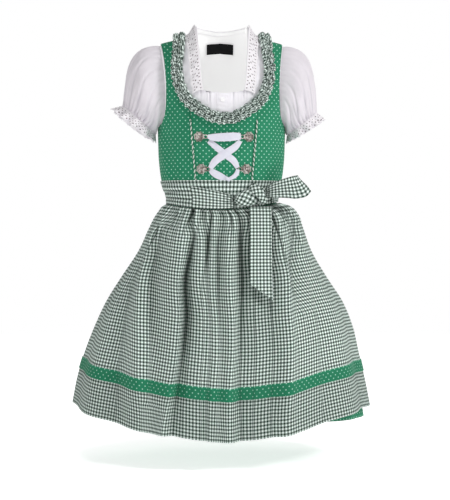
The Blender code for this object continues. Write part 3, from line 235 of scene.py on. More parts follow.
def shell(name, outer, inner, uv, material, closed=False, sharp=50, shade=None, spots=None):
    """A cloth shell between two matching grids. uv has one more column than a closed grid.

    spots marks the outer cells that take the second material, which for the eyelets is painted shade."""
    rows, columns = outer.shape[:2]
    cells, size, wide = columns if closed else columns - 1, rows * columns, uv.shape[1]
    vertex, r, c = quads(rows - 1, cells, columns)
    place, _, _ = quads(rows - 1, cells, wide)
    faces, places = [vertex, (vertex + size)[:, ::-1]], [place, place[:, ::-1]]
    rims = [(r == 0, 0, 1), (r == rows - 2, 2, 3)]
    if not closed:
        rims += [(c == 0, 3, 0), (c == cells - 1, 1, 2)]
    for rim, i, j in rims:
        a, b = vertex[rim, i], vertex[rim, j]
        faces.append(np.stack([b, a, a + size, b + size], 1))
        places.append(place[rim][:, [j, i, i, j]])
    faces, places = np.concatenate(faces), np.concatenate(places)
    points = np.concatenate([outer.reshape(-1, 3), inner.reshape(-1, 3)])
    p = points[faces]
    volume = (p[:, 0] * np.cross(p[:, 1], p[:, 2])).sum() + (p[:, 0] * np.cross(p[:, 2], p[:, 3])).sum()
    if volume < 0:
        faces, places = faces[:, ::-1], places[:, ::-1]
    slots = None
    if spots is not None:
        slots = np.zeros(len(faces), np.int32)
        slots[: spots.size] = spots.ravel()
    if shade is not None:
        shade = np.tile(np.broadcast_to(shade, outer.shape[:2]).ravel(), 2)
    uvs, counts = uv.reshape(-1, 2)[places.ravel()], np.full(len(faces), 4)
    return make_object(name, points, faces.ravel(), counts, uvs, material, slots, sharp, shade)


def cloth(name, grid, n, low, high, uv, material, **options):
    """A shell on a grid, from one distance along its normals to another."""
    low, high = (np.broadcast_to(np.asarray(away, float), grid.shape[:2])[..., None] for away in (low, high))
    return shell(name, grid + n * high, grid + n * low, uv, material, **options)


def round_uv(grid, row, column):
    """Texture places in metres for a closed grid: round one row for u and down one column for v."""
    u, v = arc(np.concatenate([grid[row], grid[row, :1]])), arc(grid[:, column])
    return paired(u[None, :], v[:, None])


def ring_solid(name, rings, length, girth, material, colours=None, shade=None, slant=(1.0, 0.0)):
    """A solid through rings of points, capped at both ends, with u round the girth and v along the length.

    slant turns the cloth on it, and colours gives a material slot for each side."""
    count, sides = rings.shape[:2]
    faces, r, k = quads(count - 1, sides, sides)
    corners = ((0, 0), (1, 0), (1, 1), (0, 1))
    uvs = np.stack([np.stack([(k + a) * girth / sides, length[r + b]], -1) for a, b in corners], 1)
    (same, cross), (u, v) = slant, np.moveaxis(uvs, -1, 0)
    uvs = np.stack([same * u + cross * v, same * v - cross * u], -1)
    ends = np.stack([np.arange(sides)[::-1], (count - 1) * sides + np.arange(sides)])
    points = rings.reshape(-1, 3)
    p = points[faces]
    if (p[:, 0] * np.cross(p[:, 1], p[:, 2])).sum() < 0:
        faces, uvs, ends = faces[:, ::-1], uvs[:, ::-1], ends[:, ::-1]
    loops, counts = np.concatenate([faces.ravel(), ends.ravel()]), [4] * len(faces) + [sides] * 2
    uvs = np.concatenate([uvs.reshape(-1, 2), np.zeros((2 * sides, 2))])
    slots = None if colours is None else [colours[side] for side in k] + [0, 0]
    return make_object(name, points, loops, counts, uvs, material, slots, sharp=60, shade=shade)


def tube(name, line, radius, sides, material, turn_rate=0.0, lobe=0.0, colours=None):
    """A round or two-lobed cord along a line of points, twisted by turn_rate radians a metre."""
    along = unit(np.gradient(line, axis=0))
    across = unit(np.cross(along, unit(line * (1, 1, 0))))
    top = np.cross(across, along)
    length, spokes = arc(line), full_turn(sides)[None, :]
    turn = spokes + turn_rate * length[:, None]
    reach = np.reshape(radius, (-1, 1)) * (1 + lobe * np.cos(2 * spokes))
    ring = across[:, None] * np.cos(turn)[..., None] + top[:, None] * np.sin(turn)[..., None]
    girth = 2 * math.pi * float(np.mean(radius))
    return ring_solid(name, line[:, None] + reach[..., None] * ring, length, girth, material, colours)


# ---- materials ----------------------------------------------------------------------------------

FOLD_DARK = 0.80  # how dark cloth gets where it is tucked out of the light
# the colour of the painted glow (emission) that the batistes give off
PAINTED_GLOW_WHITE = (1.0, 0.99, 0.98, 1.0)


class Recipe:
    """Short-hand for a node material: each call adds a node and returns its output."""

    def __init__(self, name):
        self.material = bpy.data.materials.new(name)
        self.material.use_nodes = True
        self.tree = self.material.node_tree
        self.shader = self.tree.nodes["Principled BSDF"]
        self.uv = self.node("ShaderNodeUVMap", uv_map="cloth").outputs[0]

    def node(self, kind, **settings):
        made = self.tree.nodes.new(kind)
        for key, value in settings.items():
            setattr(made, key, value)
        return made

    def feed(self, socket, value):
        if isinstance(value, bpy.types.NodeSocket):
            self.tree.links.new(value, socket)
        else:
            socket.default_value = value

    def math(self, operation, *values):
        made = self.node("ShaderNodeMath", operation=operation)
        for socket, value in zip(made.inputs, values):
            self.feed(socket, value)
        return made.outputs[0]

    def plus(self, first, second):
        return self.math("ADD", first, second)

    def times(self, first, second):
        return self.math("MULTIPLY", first, second)

    def split(self, vector):
        made = self.node("ShaderNodeSeparateXYZ")
        self.feed(made.inputs[0], vector)
        return made.outputs

    def mix(self, share, first, second):
        made = self.node("ShaderNodeMix", data_type="RGBA")
        self.feed(made.inputs[0], share)
        self.feed(made.inputs[6], first)
        self.feed(made.inputs[7], second)
        return made.outputs[2]

    def noise(self, scale, detail=2.0, vector=None, rough=0.5):
        made = self.node("ShaderNodeTexNoise")
        self.feed(made.inputs["Vector"], self.uv if vector is None else vector)
        made.inputs["Scale"].default_value = scale
        made.inputs["Detail"].default_value = detail
        made.inputs["Roughness"].default_value = rough
        return made.outputs["Fac"]

    def ramp(self, value, low, high, to_low=0.0, to_high=1.0):
        made = self.node("ShaderNodeMapRange", interpolation_type="SMOOTHSTEP")
        for socket, number in zip(made.inputs, (value, low, high, to_low, to_high)):
            self.feed(socket, number)
        return made.outputs[0]

    def stripe(self, coordinate, repeat, share=0.5, soft=0.07):
        """1 on a stripe and 0 between, across a coordinate in metres."""
        phase = self.math("FRACT", self.math("DIVIDE", coordinate, repeat))
        far = self.times(self.math("ABSOLUTE", self.math("SUBTRACT", phase, 0.5)), 2.0)
        return self.ramp(far, 1 - share - soft, 1 - share + soft)

    def ribs(self, coordinate, spacing):
        """Waves across a coordinate, from -1 to 1, at a spacing in metres."""
        return self.math("SINE", self.times(coordinate, 2 * math.pi / spacing))

    def threads(self, spacing):
        """Heights of a plain weave, one thread over and one under, in metres of cloth."""
        u, v, _ = self.split(self.uv)
        over = self.times(self.ribs(u, 2 * spacing), self.ribs(v, 2 * spacing))
        return self.plus(self.times(over, 0.5), 0.5)

    def painted_fold_shade(self, colour, dark):
        """The colour, gone dark with painted shade where the fold_shade attribute says the cloth lies in
        shade, as in a fold.
        """
        deep = self.node("ShaderNodeAttribute", attribute_name="fold_shade").outputs["Fac"]
        return self.mix(self.times(deep, FOLD_DARK), colour, dark)

    def bump(self, height, distance, strength=1.0, under=None):
        made = self.node("ShaderNodeBump")
        made.inputs["Strength"].default_value = strength
        made.inputs["Distance"].default_value = distance
        self.feed(made.inputs["Height"], height)
        if under is not None:
            self.feed(made.inputs["Normal"], under)
        return made.outputs[0]

    def finish(self, colour, roughness, normal, **fixed):
        self.feed(self.shader.inputs["Base Color"], colour)
        self.feed(self.shader.inputs["Roughness"], roughness)
        self.feed(self.shader.inputs["Normal"], normal)
        for key, value in fixed.items():
            self.shader.inputs[key.replace("_", " ")].default_value = value
        return self.material


def srgb(*levels):
    """A linear colour from display levels out of 255."""
    return tuple(((v / 255 + 0.055) / 1.055) ** 2.4 if v > 10 else v / 255 / 12.92 for v in levels) + (1.0,)


CHECK_REPEAT, CHECK_THREAD, CHECK_CONTRAST = 0.0056, 0.00036, 0.52
DOT_ACROSS, DOT_DOWN, DOT_RADIUS, DOT_EDGE, DOT_THREAD = 0.0097, 0.0100, 0.00096, 0.00022, 0.00034
GREEN, GREEN_DEEP, DOT_WHITE = srgb(46, 142, 105), srgb(30, 119, 84), srgb(188, 243, 222)
BATISTE_THREAD, SATIN_RIB, LABEL_RIBS = 0.00028, 0.00045, (0.0005, 0.0003)


def gingham():
    """Yarn-dyed check: stripes of green and white warp crossed by the same weft."""
    m = Recipe("gingham_woven")
    u, v, _ = m.split(m.uv)
    warp, weft = m.stripe(u, CHECK_REPEAT), m.stripe(v, CHECK_REPEAT)
    over = m.threads(CHECK_THREAD)
    woven = m.plus(m.times(weft, m.math("SUBTRACT", 1.0, over)), m.times(warp, over))
    both = m.times(m.plus(warp, weft), 0.5)
    share = m.math("POWER", m.plus(m.times(woven, 0.5), m.times(both, 0.5)), CHECK_CONTRAST)
    worn = m.noise(2200.0)
    share = m.times(share, m.ramp(worn, 0.2, 0.8, 0.95, 1.0))
    pale = m.mix(m.noise(90.0), srgb(234, 253, 243), srgb(247, 255, 252))
    dark = m.mix(m.noise(60.0, 3.0), srgb(0, 40, 23), srgb(3, 52, 33))
    colour = m.painted_fold_shade(m.mix(share, pale, dark), srgb(2, 30, 18))
    weave = m.bump(over, 0.00010, 0.5)
    soft = m.bump(m.noise(140.0, 3.0), 0.0012, 0.35, weave)
    return m.finish(colour, m.ramp(worn, 0.0, 1.0, 0.80, 0.95), soft, Specular_IOR_Level=0.15)


def dotted():
    """Green cotton printed with small staggered dots."""
    m = Recipe("dotted_print")
    u, v, _ = m.split(m.uv)

    def cell(coordinate, size, shift):
        moved = m.plus(m.math("DIVIDE", coordinate, size), shift)
        return m.times(m.math("SUBTRACT", m.math("FRACT", moved), 0.5), size)

    def dot(shift):
        du, dv = cell(u, DOT_ACROSS, shift), cell(v, DOT_DOWN, shift)
        away = m.math("SQRT", m.plus(m.times(du, du), m.times(dv, dv)))
        return m.ramp(away, DOT_RADIUS - DOT_EDGE, DOT_RADIUS + DOT_EDGE, 1.0, 0.0)

    dots = m.math("MAXIMUM", dot(0.0), dot(0.5))
    over = m.threads(DOT_THREAD)
    tone = m.plus(m.times(m.noise(45.0, 4.0), 0.6), m.times(over, 0.4))
    ground = m.mix(tone, GREEN_DEEP, GREEN)
    printed = m.times(dots, m.ramp(m.noise(1500.0), 0.25, 0.65, 0.78, 1.0))
    colour = m.painted_fold_shade(m.mix(printed, ground, DOT_WHITE), srgb(10, 44, 30))
    weave = m.bump(over, 0.00009, 0.5)
    soft = m.bump(m.noise(110.0, 3.0), 0.0010, 0.35, weave)
    rough = m.ramp(tone, 0.0, 1.0, 0.72, 0.86)
    return m.finish(colour, rough, soft, Specular_IOR_Level=0.2, Sheen_Weight=0.05)


def batiste(name, tint, crease, through):
    """Fine white blouse cotton with small creases. through is painted light: an emission glow standing in for
    the light that comes through its one layer.
    """
    m = Recipe(name)
    over = m.threads(BATISTE_THREAD)
    cloudy = m.noise(38.0, 4.0, rough=0.6)
    colour = m.mix(cloudy, srgb(*(level - 14 for level in tint)), srgb(*tint))
    colour = m.mix(m.times(over, 0.12), colour, srgb(255, 255, 255))
    colour = m.painted_fold_shade(colour, srgb(128, 122, 140))
    weave = m.bump(over, 0.00007, 0.4)
    soft = m.bump(m.noise(70.0, 4.0, rough=0.6), 0.0016, crease, weave)
    return m.finish(
        colour, m.ramp(cloudy, 0.0, 1.0, 0.75, 0.9), soft,
        Sheen_Weight=0.1, Sheen_Roughness=0.4, Emission_Color=PAINTED_GLOW_WHITE, Emission_Strength=through,
    )


def satin():
    """Ribbon: fine cross ribs under a long soft shine."""
    m = Recipe("satin_white")
    ribs = m.ribs(m.split(m.uv)[1], SATIN_RIB)
    cloudy = m.noise(160.0)
    colour = m.mix(cloudy, srgb(214, 214, 228), srgb(232, 232, 242))
    normal = m.bump(ribs, 0.00004, 0.5, m.bump(m.noise(240.0), 0.0006, 0.5))
    return m.finish(
        colour, m.ramp(cloudy, 0.0, 1.0, 0.28, 0.42), normal,
        Sheen_Weight=0.2, Specular_IOR_Level=0.6, Anisotropic=0.5,
    )


def silver():
    """Cast hooks: bright and dull patches on a grained metal."""
    m = Recipe("silver_antique")
    place = m.node("ShaderNodeTexCoord").outputs["Object"]
    grain, patch = m.noise(900.0, 3.0, place), m.noise(260.0, 2.0, place)
    colour = m.mix(m.ramp(patch, 0.30, 0.70), srgb(112, 94, 86), srgb(240, 233, 228))
    return m.finish(colour, m.ramp(grain, 0.2, 0.8, 0.28, 0.55), m.bump(grain, 0.0002, 0.5), Metallic=0.6)


def black_label():
    """Black woven satin tape."""
    m = Recipe("label_black")
    u, v, _ = m.split(m.uv)
    ribs = m.plus(m.ribs(u, LABEL_RIBS[0]), m.ribs(v, LABEL_RIBS[1]))
    tone = m.plus(m.times(ribs, 0.15), m.noise(300.0))
    colour = m.mix(tone, srgb(4, 4, 5), srgb(16, 16, 18))
    rough = m.ramp(tone, 0.0, 1.0, 0.5, 0.7)
    return m.finish(colour, rough, m.bump(tone, 0.0001, 0.5), Specular_IOR_Level=0.2)


# through is painted light: an emission glow, though the thread is no lamp
def thread(name, colour, through=0.0):
    m = Recipe(name)
    tone = m.noise(1800.0)
    return m.finish(
        m.mix(tone, tuple(0.8 * c for c in colour[:3]) + (1.0,), colour), m.ramp(tone, 0.0, 1.0, 0.6, 0.8),
        m.bump(tone, 0.0002, 0.4), Emission_Color=(1.0, 1.0, 1.0, 1.0), Emission_Strength=through,
    )


GINGHAM, DOTTED = gingham(), dotted()
# These all glow a little, as painted light. The blouse's three batistes are copies of one cloth whose tints
# and glow differ by part, standing in for how light falls on each; the lining inside the back glows most, as
# painted light for the inside.
WHITE = batiste("batiste_white", (226, 220, 227), 0.5, 0.05)
FRONT_WHITE = batiste("batiste_front", (242, 239, 245), 0.7, 0.07)
LINING = batiste("batiste_inside", (246, 246, 245), 0.3, 0.345)
LACE = batiste("lace_white", (238, 234, 238), 0.6, 0.065)
SATIN, SILVER, BLACK = satin(), silver(), black_label()
EYELET_PAINTED_SHADE = thread("eyelet_shade", srgb(112, 98, 104))  # painted shade: a dark disc for the shade seen through an eyelet's hole
WHITE_THREAD = thread("cord_white", srgb(236, 242, 236))
GREEN_THREAD = thread("cord_green", srgb(52, 122, 88))
# the button glows a little: painted light that keeps it bright white
BUTTON = thread("button_white", srgb(252, 250, 252), 0.10)


def stands_for(node):
    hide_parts(node)


# ---- bodice -------------------------------------------------------------------------------------

Rung = namedtuple("Rung", "inner_level inner_x outer_level outer_x")
FRONT_SIDE_RUNGS = rows_of(Rung, [
    (-0.2620, 0.0435, -0.2620, SIDE), (-0.2480, 0.0445, -0.2480, SIDE),
    (-0.2350, 0.0455, -0.2350, SIDE), (-0.2050, 0.0480, -0.2000, SIDE),
    (-0.1790, 0.0503, -0.1680, SIDE), (-0.1570, 0.0522, -0.1430, SIDE),
    (-0.1490, 0.0529, -0.1418, 0.1047), (-0.1400, 0.0536, -0.1368, 0.1003),
    (-0.1250, 0.0547, -0.1250, 0.0958), (-0.1100, 0.0555, -0.1080, 0.0940),
    (-0.0990, 0.0560, -0.0920, 0.0937), (-0.0840, 0.0620, -0.0780, 0.0938),
    (-0.0670, 0.0668, -0.0660, 0.0941), (-0.0500, 0.0690, -0.0500, 0.0952),
    (-0.0300, 0.0678, -0.0300, 0.0972), (-0.0120, 0.0660, -0.0120, 0.1000),
    (-0.0030, 0.0648, -0.0030, 0.1018), (0.0000, 0.0645, 0.0000, 0.1026),
])
BACK_RUNGS = rows_of(Rung, [
    (-0.2620, 0.0000, -0.2620, SIDE), (-0.2480, 0.0000, -0.2480, SIDE),
    (-0.2350, 0.0000, -0.2350, SIDE), (-0.2050, 0.0000, -0.2000, SIDE),
    (-0.1790, 0.0000, -0.1680, SIDE), (-0.1560, 0.0000, -0.1430, SIDE),
    (-0.1460, 0.0000, -0.1418, 0.1047), (-0.1350, 0.0000, -0.1368, 0.1003),
    (-0.1170, 0.0000, -0.1250, 0.0956), (-0.0900, 0.0000, -0.1040, 0.0935),
    (-0.0600, 0.0000, -0.0840, 0.0931), (-0.0560, 0.0240, -0.0660, 0.0936),
    (-0.0465, 0.0430, -0.0490, 0.0950), (-0.0310, 0.0550, -0.0300, 0.0971),
    (-0.0125, 0.0622, -0.0120, 0.1000), (-0.0030, 0.0643, -0.0030, 0.1018),
    (0.0000, 0.0645, 0.0000, 0.1026),
])
BLOUSE_FRONT_RUNGS = rows_of(Rung, [
    (-0.2000, 0.0000, -0.2000, SIDE), (-0.1720, 0.0000, -0.1650, SIDE),
    (-0.1500, 0.0000, -0.1405, SIDE), (-0.1420, 0.0000, -0.1394, 0.1052),
    (-0.1330, 0.0000, -0.1345, 0.1018), (-0.1220, 0.0000, -0.1250, 0.0984),
    (-0.1125, 0.0000, -0.1155, 0.0970), (-0.1035, 0.0000, -0.1075, 0.0965),
    (-0.1020, 0.0120, -0.1000, 0.0963), (-0.1008, 0.0240, -0.0920, 0.0963),
    (-0.0980, 0.0340, -0.0820, 0.0964), (-0.0800, 0.0370, -0.0650, 0.0971),
    (-0.0600, 0.0390, -0.0480, 0.0983), (-0.0385, 0.0408, -0.0310, 0.1001),
    (-0.0150, 0.0430, -0.0120, 0.1025), (-0.0040, 0.0443, -0.0030, 0.1044),
    (0.0000, 0.0448, 0.0000, 0.1052),
])
BLOUSE_BACK_RUNGS = [Rung(level, 0.0, level, x) for level, x in (
    (-0.2000, SIDE), (-0.1680, SIDE), (-0.1405, SIDE), (-0.1394, 0.1052), (-0.1345, 0.1018),
    (-0.1220, 0.0976), (-0.0980, 0.0957), (-0.0700, 0.0960), (-0.0480, 0.0978), (-0.0300, 0.1000),
    (-0.0120, 0.1025), (-0.0030, 0.1044), (0.0000, 0.1052),
)]

# Creases: the ends of each in turn (degrees from the front) and level, its half width and its depth.
Crease = namedtuple("Crease", "turn_a level_a turn_b level_b half_width depth")
BODICE_CREASES = rows_of(Crease, [
    (-62, -0.158, -52, -0.232, 0.0065, -0.0012), (-74, -0.172, -60, -0.236, 0.0055, 0.0010),
    (-50, -0.176, -44, -0.236, 0.0050, 0.0008), (-70, -0.150, -50, -0.166, 0.0060, -0.0009),
    (60, -0.160, 66, -0.226, 0.0060, -0.0008), (-20, -0.236, 16, -0.238, 0.0040, -0.0004),
    (120, -0.165, 150, -0.190, 0.0080, -0.0008), (-120, -0.160, -152, -0.186, 0.0080, -0.0008),
    (140, -0.225, 205, -0.228, 0.0060, -0.0007), (-60, -0.085, -64, -0.120, 0.0060, 0.0006),
])


CLOTH_A_DEGREE = 0.0016  # metres, near enough all round the bodice


def creased(turn, level):
    """How far the bodice's creases move the cloth out at a turn in degrees and a level."""
    total = 0.0
    for crease in BODICE_CREASES:
        dx, dy = (crease.turn_b - crease.turn_a) * CLOTH_A_DEGREE, crease.level_b - crease.level_a
        px, py = (turn - crease.turn_a) * CLOTH_A_DEGREE, level - crease.level_a
        length = math.hypot(dx, dy)
        along, off = (px * dx + py * dy) / length, (px * dy - py * dx) / length
        past = np.maximum(np.maximum(-along, along - length), 0)
        total = total + crease.depth * bell(off, crease.half_width) * bell(past, 2 * crease.half_width)
    return total


def rung_ends(rungs, end, count):
    """The angles and levels of the rungs' inner or outer ends, at even places along the rungs, as columns."""
    place, key = np.linspace(0, len(rungs) - 1, count), np.arange(len(rungs))
    x, level = column(rungs, f"{end}_x"), column(rungs, f"{end}_level")
    return [np.interp(place, key, values)[:, None] for values in (side_angle(x, level), level)]


def ladder(rungs, hand, face, columns, rows):
    """A panel's points on the form, normals, turns and levels, with rows spaced evenly along the rungs."""
    s = np.linspace(0, 1, columns)[None, :]
    inner_angle, inner = rung_ends(rungs, "inner", rows)
    outer_angle, outer = rung_ends(rungs, "outer", rows)
    level, angle = inner + (outer - inner) * s, inner_angle + (outer_angle - inner_angle) * s
    points, n = on_form(hand * half_width_at(level) * np.sin(angle), level, face)
    return points, n, np.degrees(hand * (angle if face < 0 else math.pi - angle)), level


ON_SIDE = 0.0002  # a point this near the middle depth lies on the side seam


def part_at_seams(grid, hand, face):
    """Panels that are sewn together all but touch, so that nothing shows between them."""
    grid = grid.copy()
    on_side = np.abs(grid[:, -1, 1]) < ON_SIDE
    grid[on_side, -1, 1] += face * SEWN
    grid[:, 0, 0] += hand * SEWN
    grid[-1, :, 1] += face * SEAM
    return grid


PRINCESS_LEVELS = (-0.262, -0.235, -0.200, -0.165, -0.135, -0.115, -0.097)
PRINCESS_X = (0.0435, 0.0455, 0.0485, 0.0515, 0.0540, 0.0552, 0.0560)
CENTRE_HALF_WIDTH = 0.05
SEAM_DEPTH, SEAM_REACH = 0.0006, 0.0016
SEAM_SHADE, SEAM_SHADE_REACH = 0.40, 0.0012
PIPING_RADIUS, PIPING_PLY, PIPING_LEVELS, PIPING_TWIST = 0.0013, 0.92, (-0.2325, -0.1350), 0.0078


def princess_x(level):
    return np.interp(level, PRINCESS_LEVELS, PRINCESS_X)


def neckline_level(x):
    return NECK_TURN - NECK_DROP * np.sqrt(1 - np.clip(x / NECK_HALF_WIDTH, -1, 1) ** 2)


def seam_dip(distance):
    """Cloth sinks a little into a seam at this distance."""
    return -SEAM_DEPTH * bell(distance, SEAM_REACH)


def build_bodice():
    s, t = np.linspace(-1, 1, 73)[None, :], np.linspace(0, 1, 80)[:, None]
    top = neckline_level(s * PRINCESS_X[-1])
    level = WAIST + t * (top - WAIST)
    grid, n = on_form(s * (princess_x(level) - SEAM), level, -1)
    turn = np.degrees(side_angle(grid[..., 0], level))
    lift = creased(turn, level) + seam_dip((1 - np.abs(s)) * CENTRE_HALF_WIDTH)
    uv = paired(grid[..., 0], grid[..., 2])
    front = cloth("dress_centre_front", grid, n, BODICE_IN, BODICE_OUT + lift, uv, DOTTED)
    stands_for("bodice_centre_front")
    for side, hand in HANDS:
        for name, rungs, face, node, flat, area in (
            ("side_front", FRONT_SIDE_RUNGS, -1, f"bodice_side_front_{side}", (0.125, 0.27), 0.0188),
            ("back", BACK_RUNGS, 1, f"bodice_back_{side}", (0.165, 0.27), 0.0325),
        ):
            points, n, turn, level = ladder(rungs, hand, face, 46, 92)
            points = part_at_seams(points, hand, face)
            steps = np.linalg.norm(np.diff(points[..., :2], axis=1), axis=-1)
            width = np.concatenate([np.zeros((len(points), 1)), np.cumsum(steps, axis=1)], axis=1)
            edge = np.minimum(width, width[:, -1:] - width)
            lift = creased(turn, level) + seam_dip(edge)
            uv = paired(hand * (np.abs(points[:, :1, 0]) + width), points[..., 2])
            shade = SEAM_SHADE * bell(edge, SEAM_SHADE_REACH)
            high = BODICE_OUT + lift
            piece = cloth(f"dress_{name}_{side}", points, n, BODICE_IN, high, uv, DOTTED, shade=shade)
            stands_for(node)


def build_piping():
    """Two-ply cord on the princess seams, a white ply and a green one twisted together."""
    levels = np.linspace(*PIPING_LEVELS, 260)
    for side, hand in HANDS:
        line, out = on_form(hand * princess_x(levels), levels, -1)
        cord = tube(
            f"piping_cord_{side}", line + out * (TRIM_IN + PIPING_RADIUS), PIPING_RADIUS * PIPING_PLY, 14,
            [WHITE_THREAD, GREEN_THREAD], turn_rate=hand * 2 * math.pi / PIPING_TWIST, lobe=0.22,
            colours=[0] * 4 + [1] * 7 + [0] * 3,
        )
        stands_for(f"piping_{side}")


# ---- neck frill ---------------------------------------------------------------------------------

FRILL_HALF_WIDTH = 0.0098
FRILL_FLOOR = TRIM_IN + 0.0006
FRILL_DRAW_IN, FRILL_PATH_OUT, FRILL_SHOULDER_LIFT = 0.0048, 0.0060, 0.0014
FRILL_GATHERS, FRILL_SLOW_WAVES, FRILL_FULLNESS, FRILL_CUT_HALF = 66, 20, 1.25, 0.0155
FRILL_STAND, FRILL_HUMP, FRILL_EDGE_WAVE = 0.0028, 0.0055, 0.0011
FRILL_RIPPLE, FRILL_RIPPLE_FINE = 0.0017, 0.0008
BACK_NECK_DROP = 0.0660


def resample(line, count, *values):
    """Values along a line, read at places spaced evenly by its length."""
    length = arc(line)
    at = (np.arange(count) + 0.5) / count * length[-1]
    return [np.interp(at, length, value) for value in values]


def frill_path(count):
    """The frill's middle line round the neck, closed: x, level and face of each point."""
    front = count * 2 // 3
    half_width, drop = NECK_HALF_WIDTH + FRILL_PATH_OUT, NECK_DROP + FRILL_PATH_OUT
    dense = np.linspace(0, 1, 400)
    bend = math.pi / 2 * math.sqrt((half_width**2 + drop**2) / 2)
    share = -NECK_TURN / (bend - NECK_TURN)
    turn = np.clip((dense - share) / (1 - share), 0, 1) * math.pi / 2
    x = half_width * np.cos(turn)
    x = np.where(dense < share, half_width - FRILL_DRAW_IN * (1 - dense / share), x)
    level = np.where(dense < share, NECK_TURN * dense / share, NECK_TURN - drop * np.sin(turn))
    front_x, front_level = np.concatenate([x, -x[::-1][1:]]), np.concatenate([level, level[::-1][1:]])
    back_turn = np.linspace(0, math.pi, 400)[1:-1]
    back_x = -(half_width - FRILL_DRAW_IN) * np.cos(back_turn)
    back_level = -BACK_NECK_DROP * np.sin(back_turn) ** 0.8
    front_part = resample(form(front_x, front_level, -1), front, front_x, front_level)
    back_part = resample(form(back_x, back_level, 1), count - front, back_x, back_level)
    faces = np.where(np.arange(count) < front, -1, 1)
    return *np.concatenate([front_part, back_part], 1), faces


def spread(values, reach):
    """A closed run of vectors, averaged over its neighbours."""
    total = sum(np.roll(values, k, axis=0) for k in range(-reach, reach + 1))
    return total / (2 * reach + 1)


def build_frill():
    """Ruched check frill: two gathered humps with a stitched valley between them and a small heading."""
    count, across_count = 1000, 23
    x, level, face = frill_path(count)
    angle = side_angle(x, level)
    turn = np.where(face < 0, angle, math.pi - angle)
    middle, out = spread(form_round(turn, level), 4), unit(spread(round_normals(turn, level), 17))
    along = unit(np.roll(middle, -1, axis=0) - np.roll(middle, 1, axis=0))
    across = unit(np.cross(out, spread(along, 6)))
    middle = middle + out * FRILL_SHOULDER_LIFT * bell(level, 0.020)[:, None]
    t = np.arange(count)[:, None] / count
    s = np.linspace(-1, 1, across_count)[None, :]
    side, reach = np.sign(s + 1e-9), np.abs(s)
    uneven = 1.3 * np.sin(2 * math.pi * 17 * t + 0.4) + 0.9 * np.sin(2 * math.pi * 29 * t + 2.0)
    phase = 2 * math.pi * FRILL_GATHERS * t + uneven + side * 1.5
    strength = 1 + 0.35 * np.sin(2 * math.pi * 23 * t + 3 * s) + 0.2 * np.sin(2 * math.pi * 41 * t - 2 * s)
    hump = 0.28 * (1 - reach**6) + 0.72 * np.abs(np.sin(np.pi * reach**0.86)) ** 0.7
    wave = np.cos(phase + 1.1 * np.sin(3.0 * s + 5 * uneven))
    fine = np.cos(2.1 * phase - 1.1 * side + 4.2 * s)
    ripple = (FRILL_RIPPLE * wave * strength + FRILL_RIPPLE_FINE * fine) * (0.35 + 0.65 * hump)
    stand = FRILL_FLOOR + FRILL_STAND + FRILL_HUMP * hump + ripple + FRILL_EDGE_WAVE * reach**6 * wave
    place = FRILL_HALF_WIDTH * s * (1.02 + 0.10 * np.cos(phase)) + 0.0006 * np.sin(phase * 0.5)
    top = middle[:, None] + across[:, None] * place[..., None] + out[:, None] * stand[..., None]
    floor = middle[:, None] + across[:, None] * 0.93 * place[..., None] + out[:, None] * FRILL_FLOOR
    length = arc(np.concatenate([middle, middle[:1]]))
    around = 2 * math.pi * np.arange(count + 1)[None, :] / count
    gather, row = FRILL_GATHERS * around, s.T
    drawn = 0.0016 * np.sin(gather + 4 * row) + 0.0012 * np.sin(FRILL_SLOW_WAVES * around + 3 * row)
    u = FRILL_FULLNESS * length[None, :] + drawn
    v = FRILL_CUT_HALF * row + 0.0013 * np.sin(gather * 0.5 + 1.0) + 0.0010 * np.cos(gather - 2 * row)
    shade = np.clip(0.60 * (-0.8 * wave - 0.45 * fine - 0.25) + 0.20 * (1 - hump), 0, 0.9)
    piece = shell(
        "frill_ruched", top.swapaxes(0, 1), floor.swapaxes(0, 1), paired(u, v), GINGHAM,
        closed=True, sharp=80, shade=shade.T,
    )
    stands_for("neck_frill")


# ---- skirt and apron ----------------------------------------------------------------------------

HEM_SIDES, HEM_TILT, HEM_FRONT_DIP = -0.6105, 0.0035, 0.0415
SKIRT_HEM, SKIRT_HEM_TILT, PARTING = -0.6165, 0.0170, 0.25
UNDER_FOLDS, UNDER_REACH = 0.0060, 3.0  # the skirt lies this far under the folds within these degrees
SHARE_OF_APRON = 0.92  # the apron's share of its length at the height of the skirt's whole length, in front
APRON_EDGES = (-106.0, 92.0)
TRIM_TOP, TRIM_WIDTH = 0.772, 0.056
TRIM_IN_APRON, TRIM_OUT_APRON = 0.0004, 0.0013
SKIRT_THICKNESS, APRON_THICKNESS, APRON_LENGTH, TRIM_CUT = 0.0015, 0.0012, 0.368, 0.022
APRON_GATHERS, APRON_FRONT, APRON_COLUMNS, SKIRT_GATHERS = 23, 72, 410, 30

Flare = namedtuple("Flare", "share half_width half_depth middle")
FLARE = rows_of(Flare, [
    (0.000, 0.0975, 0.0775, 0.0020), (0.020, 0.1085, 0.0835, 0.0070), (0.057, 0.1205, 0.0890, 0.0090),
    (0.119, 0.1310, 0.0985, 0.0075), (0.243, 0.1485, 0.1130, 0.0055), (0.367, 0.1740, 0.1310, 0.0042),
    (0.491, 0.2000, 0.1485, 0.0050), (0.615, 0.2180, 0.1615, 0.0042), (0.739, 0.2310, 0.1715, 0.0012),
    (0.863, 0.2420, 0.1800, -0.0004), (1.000, 0.2510, 0.1885, -0.0006),
])
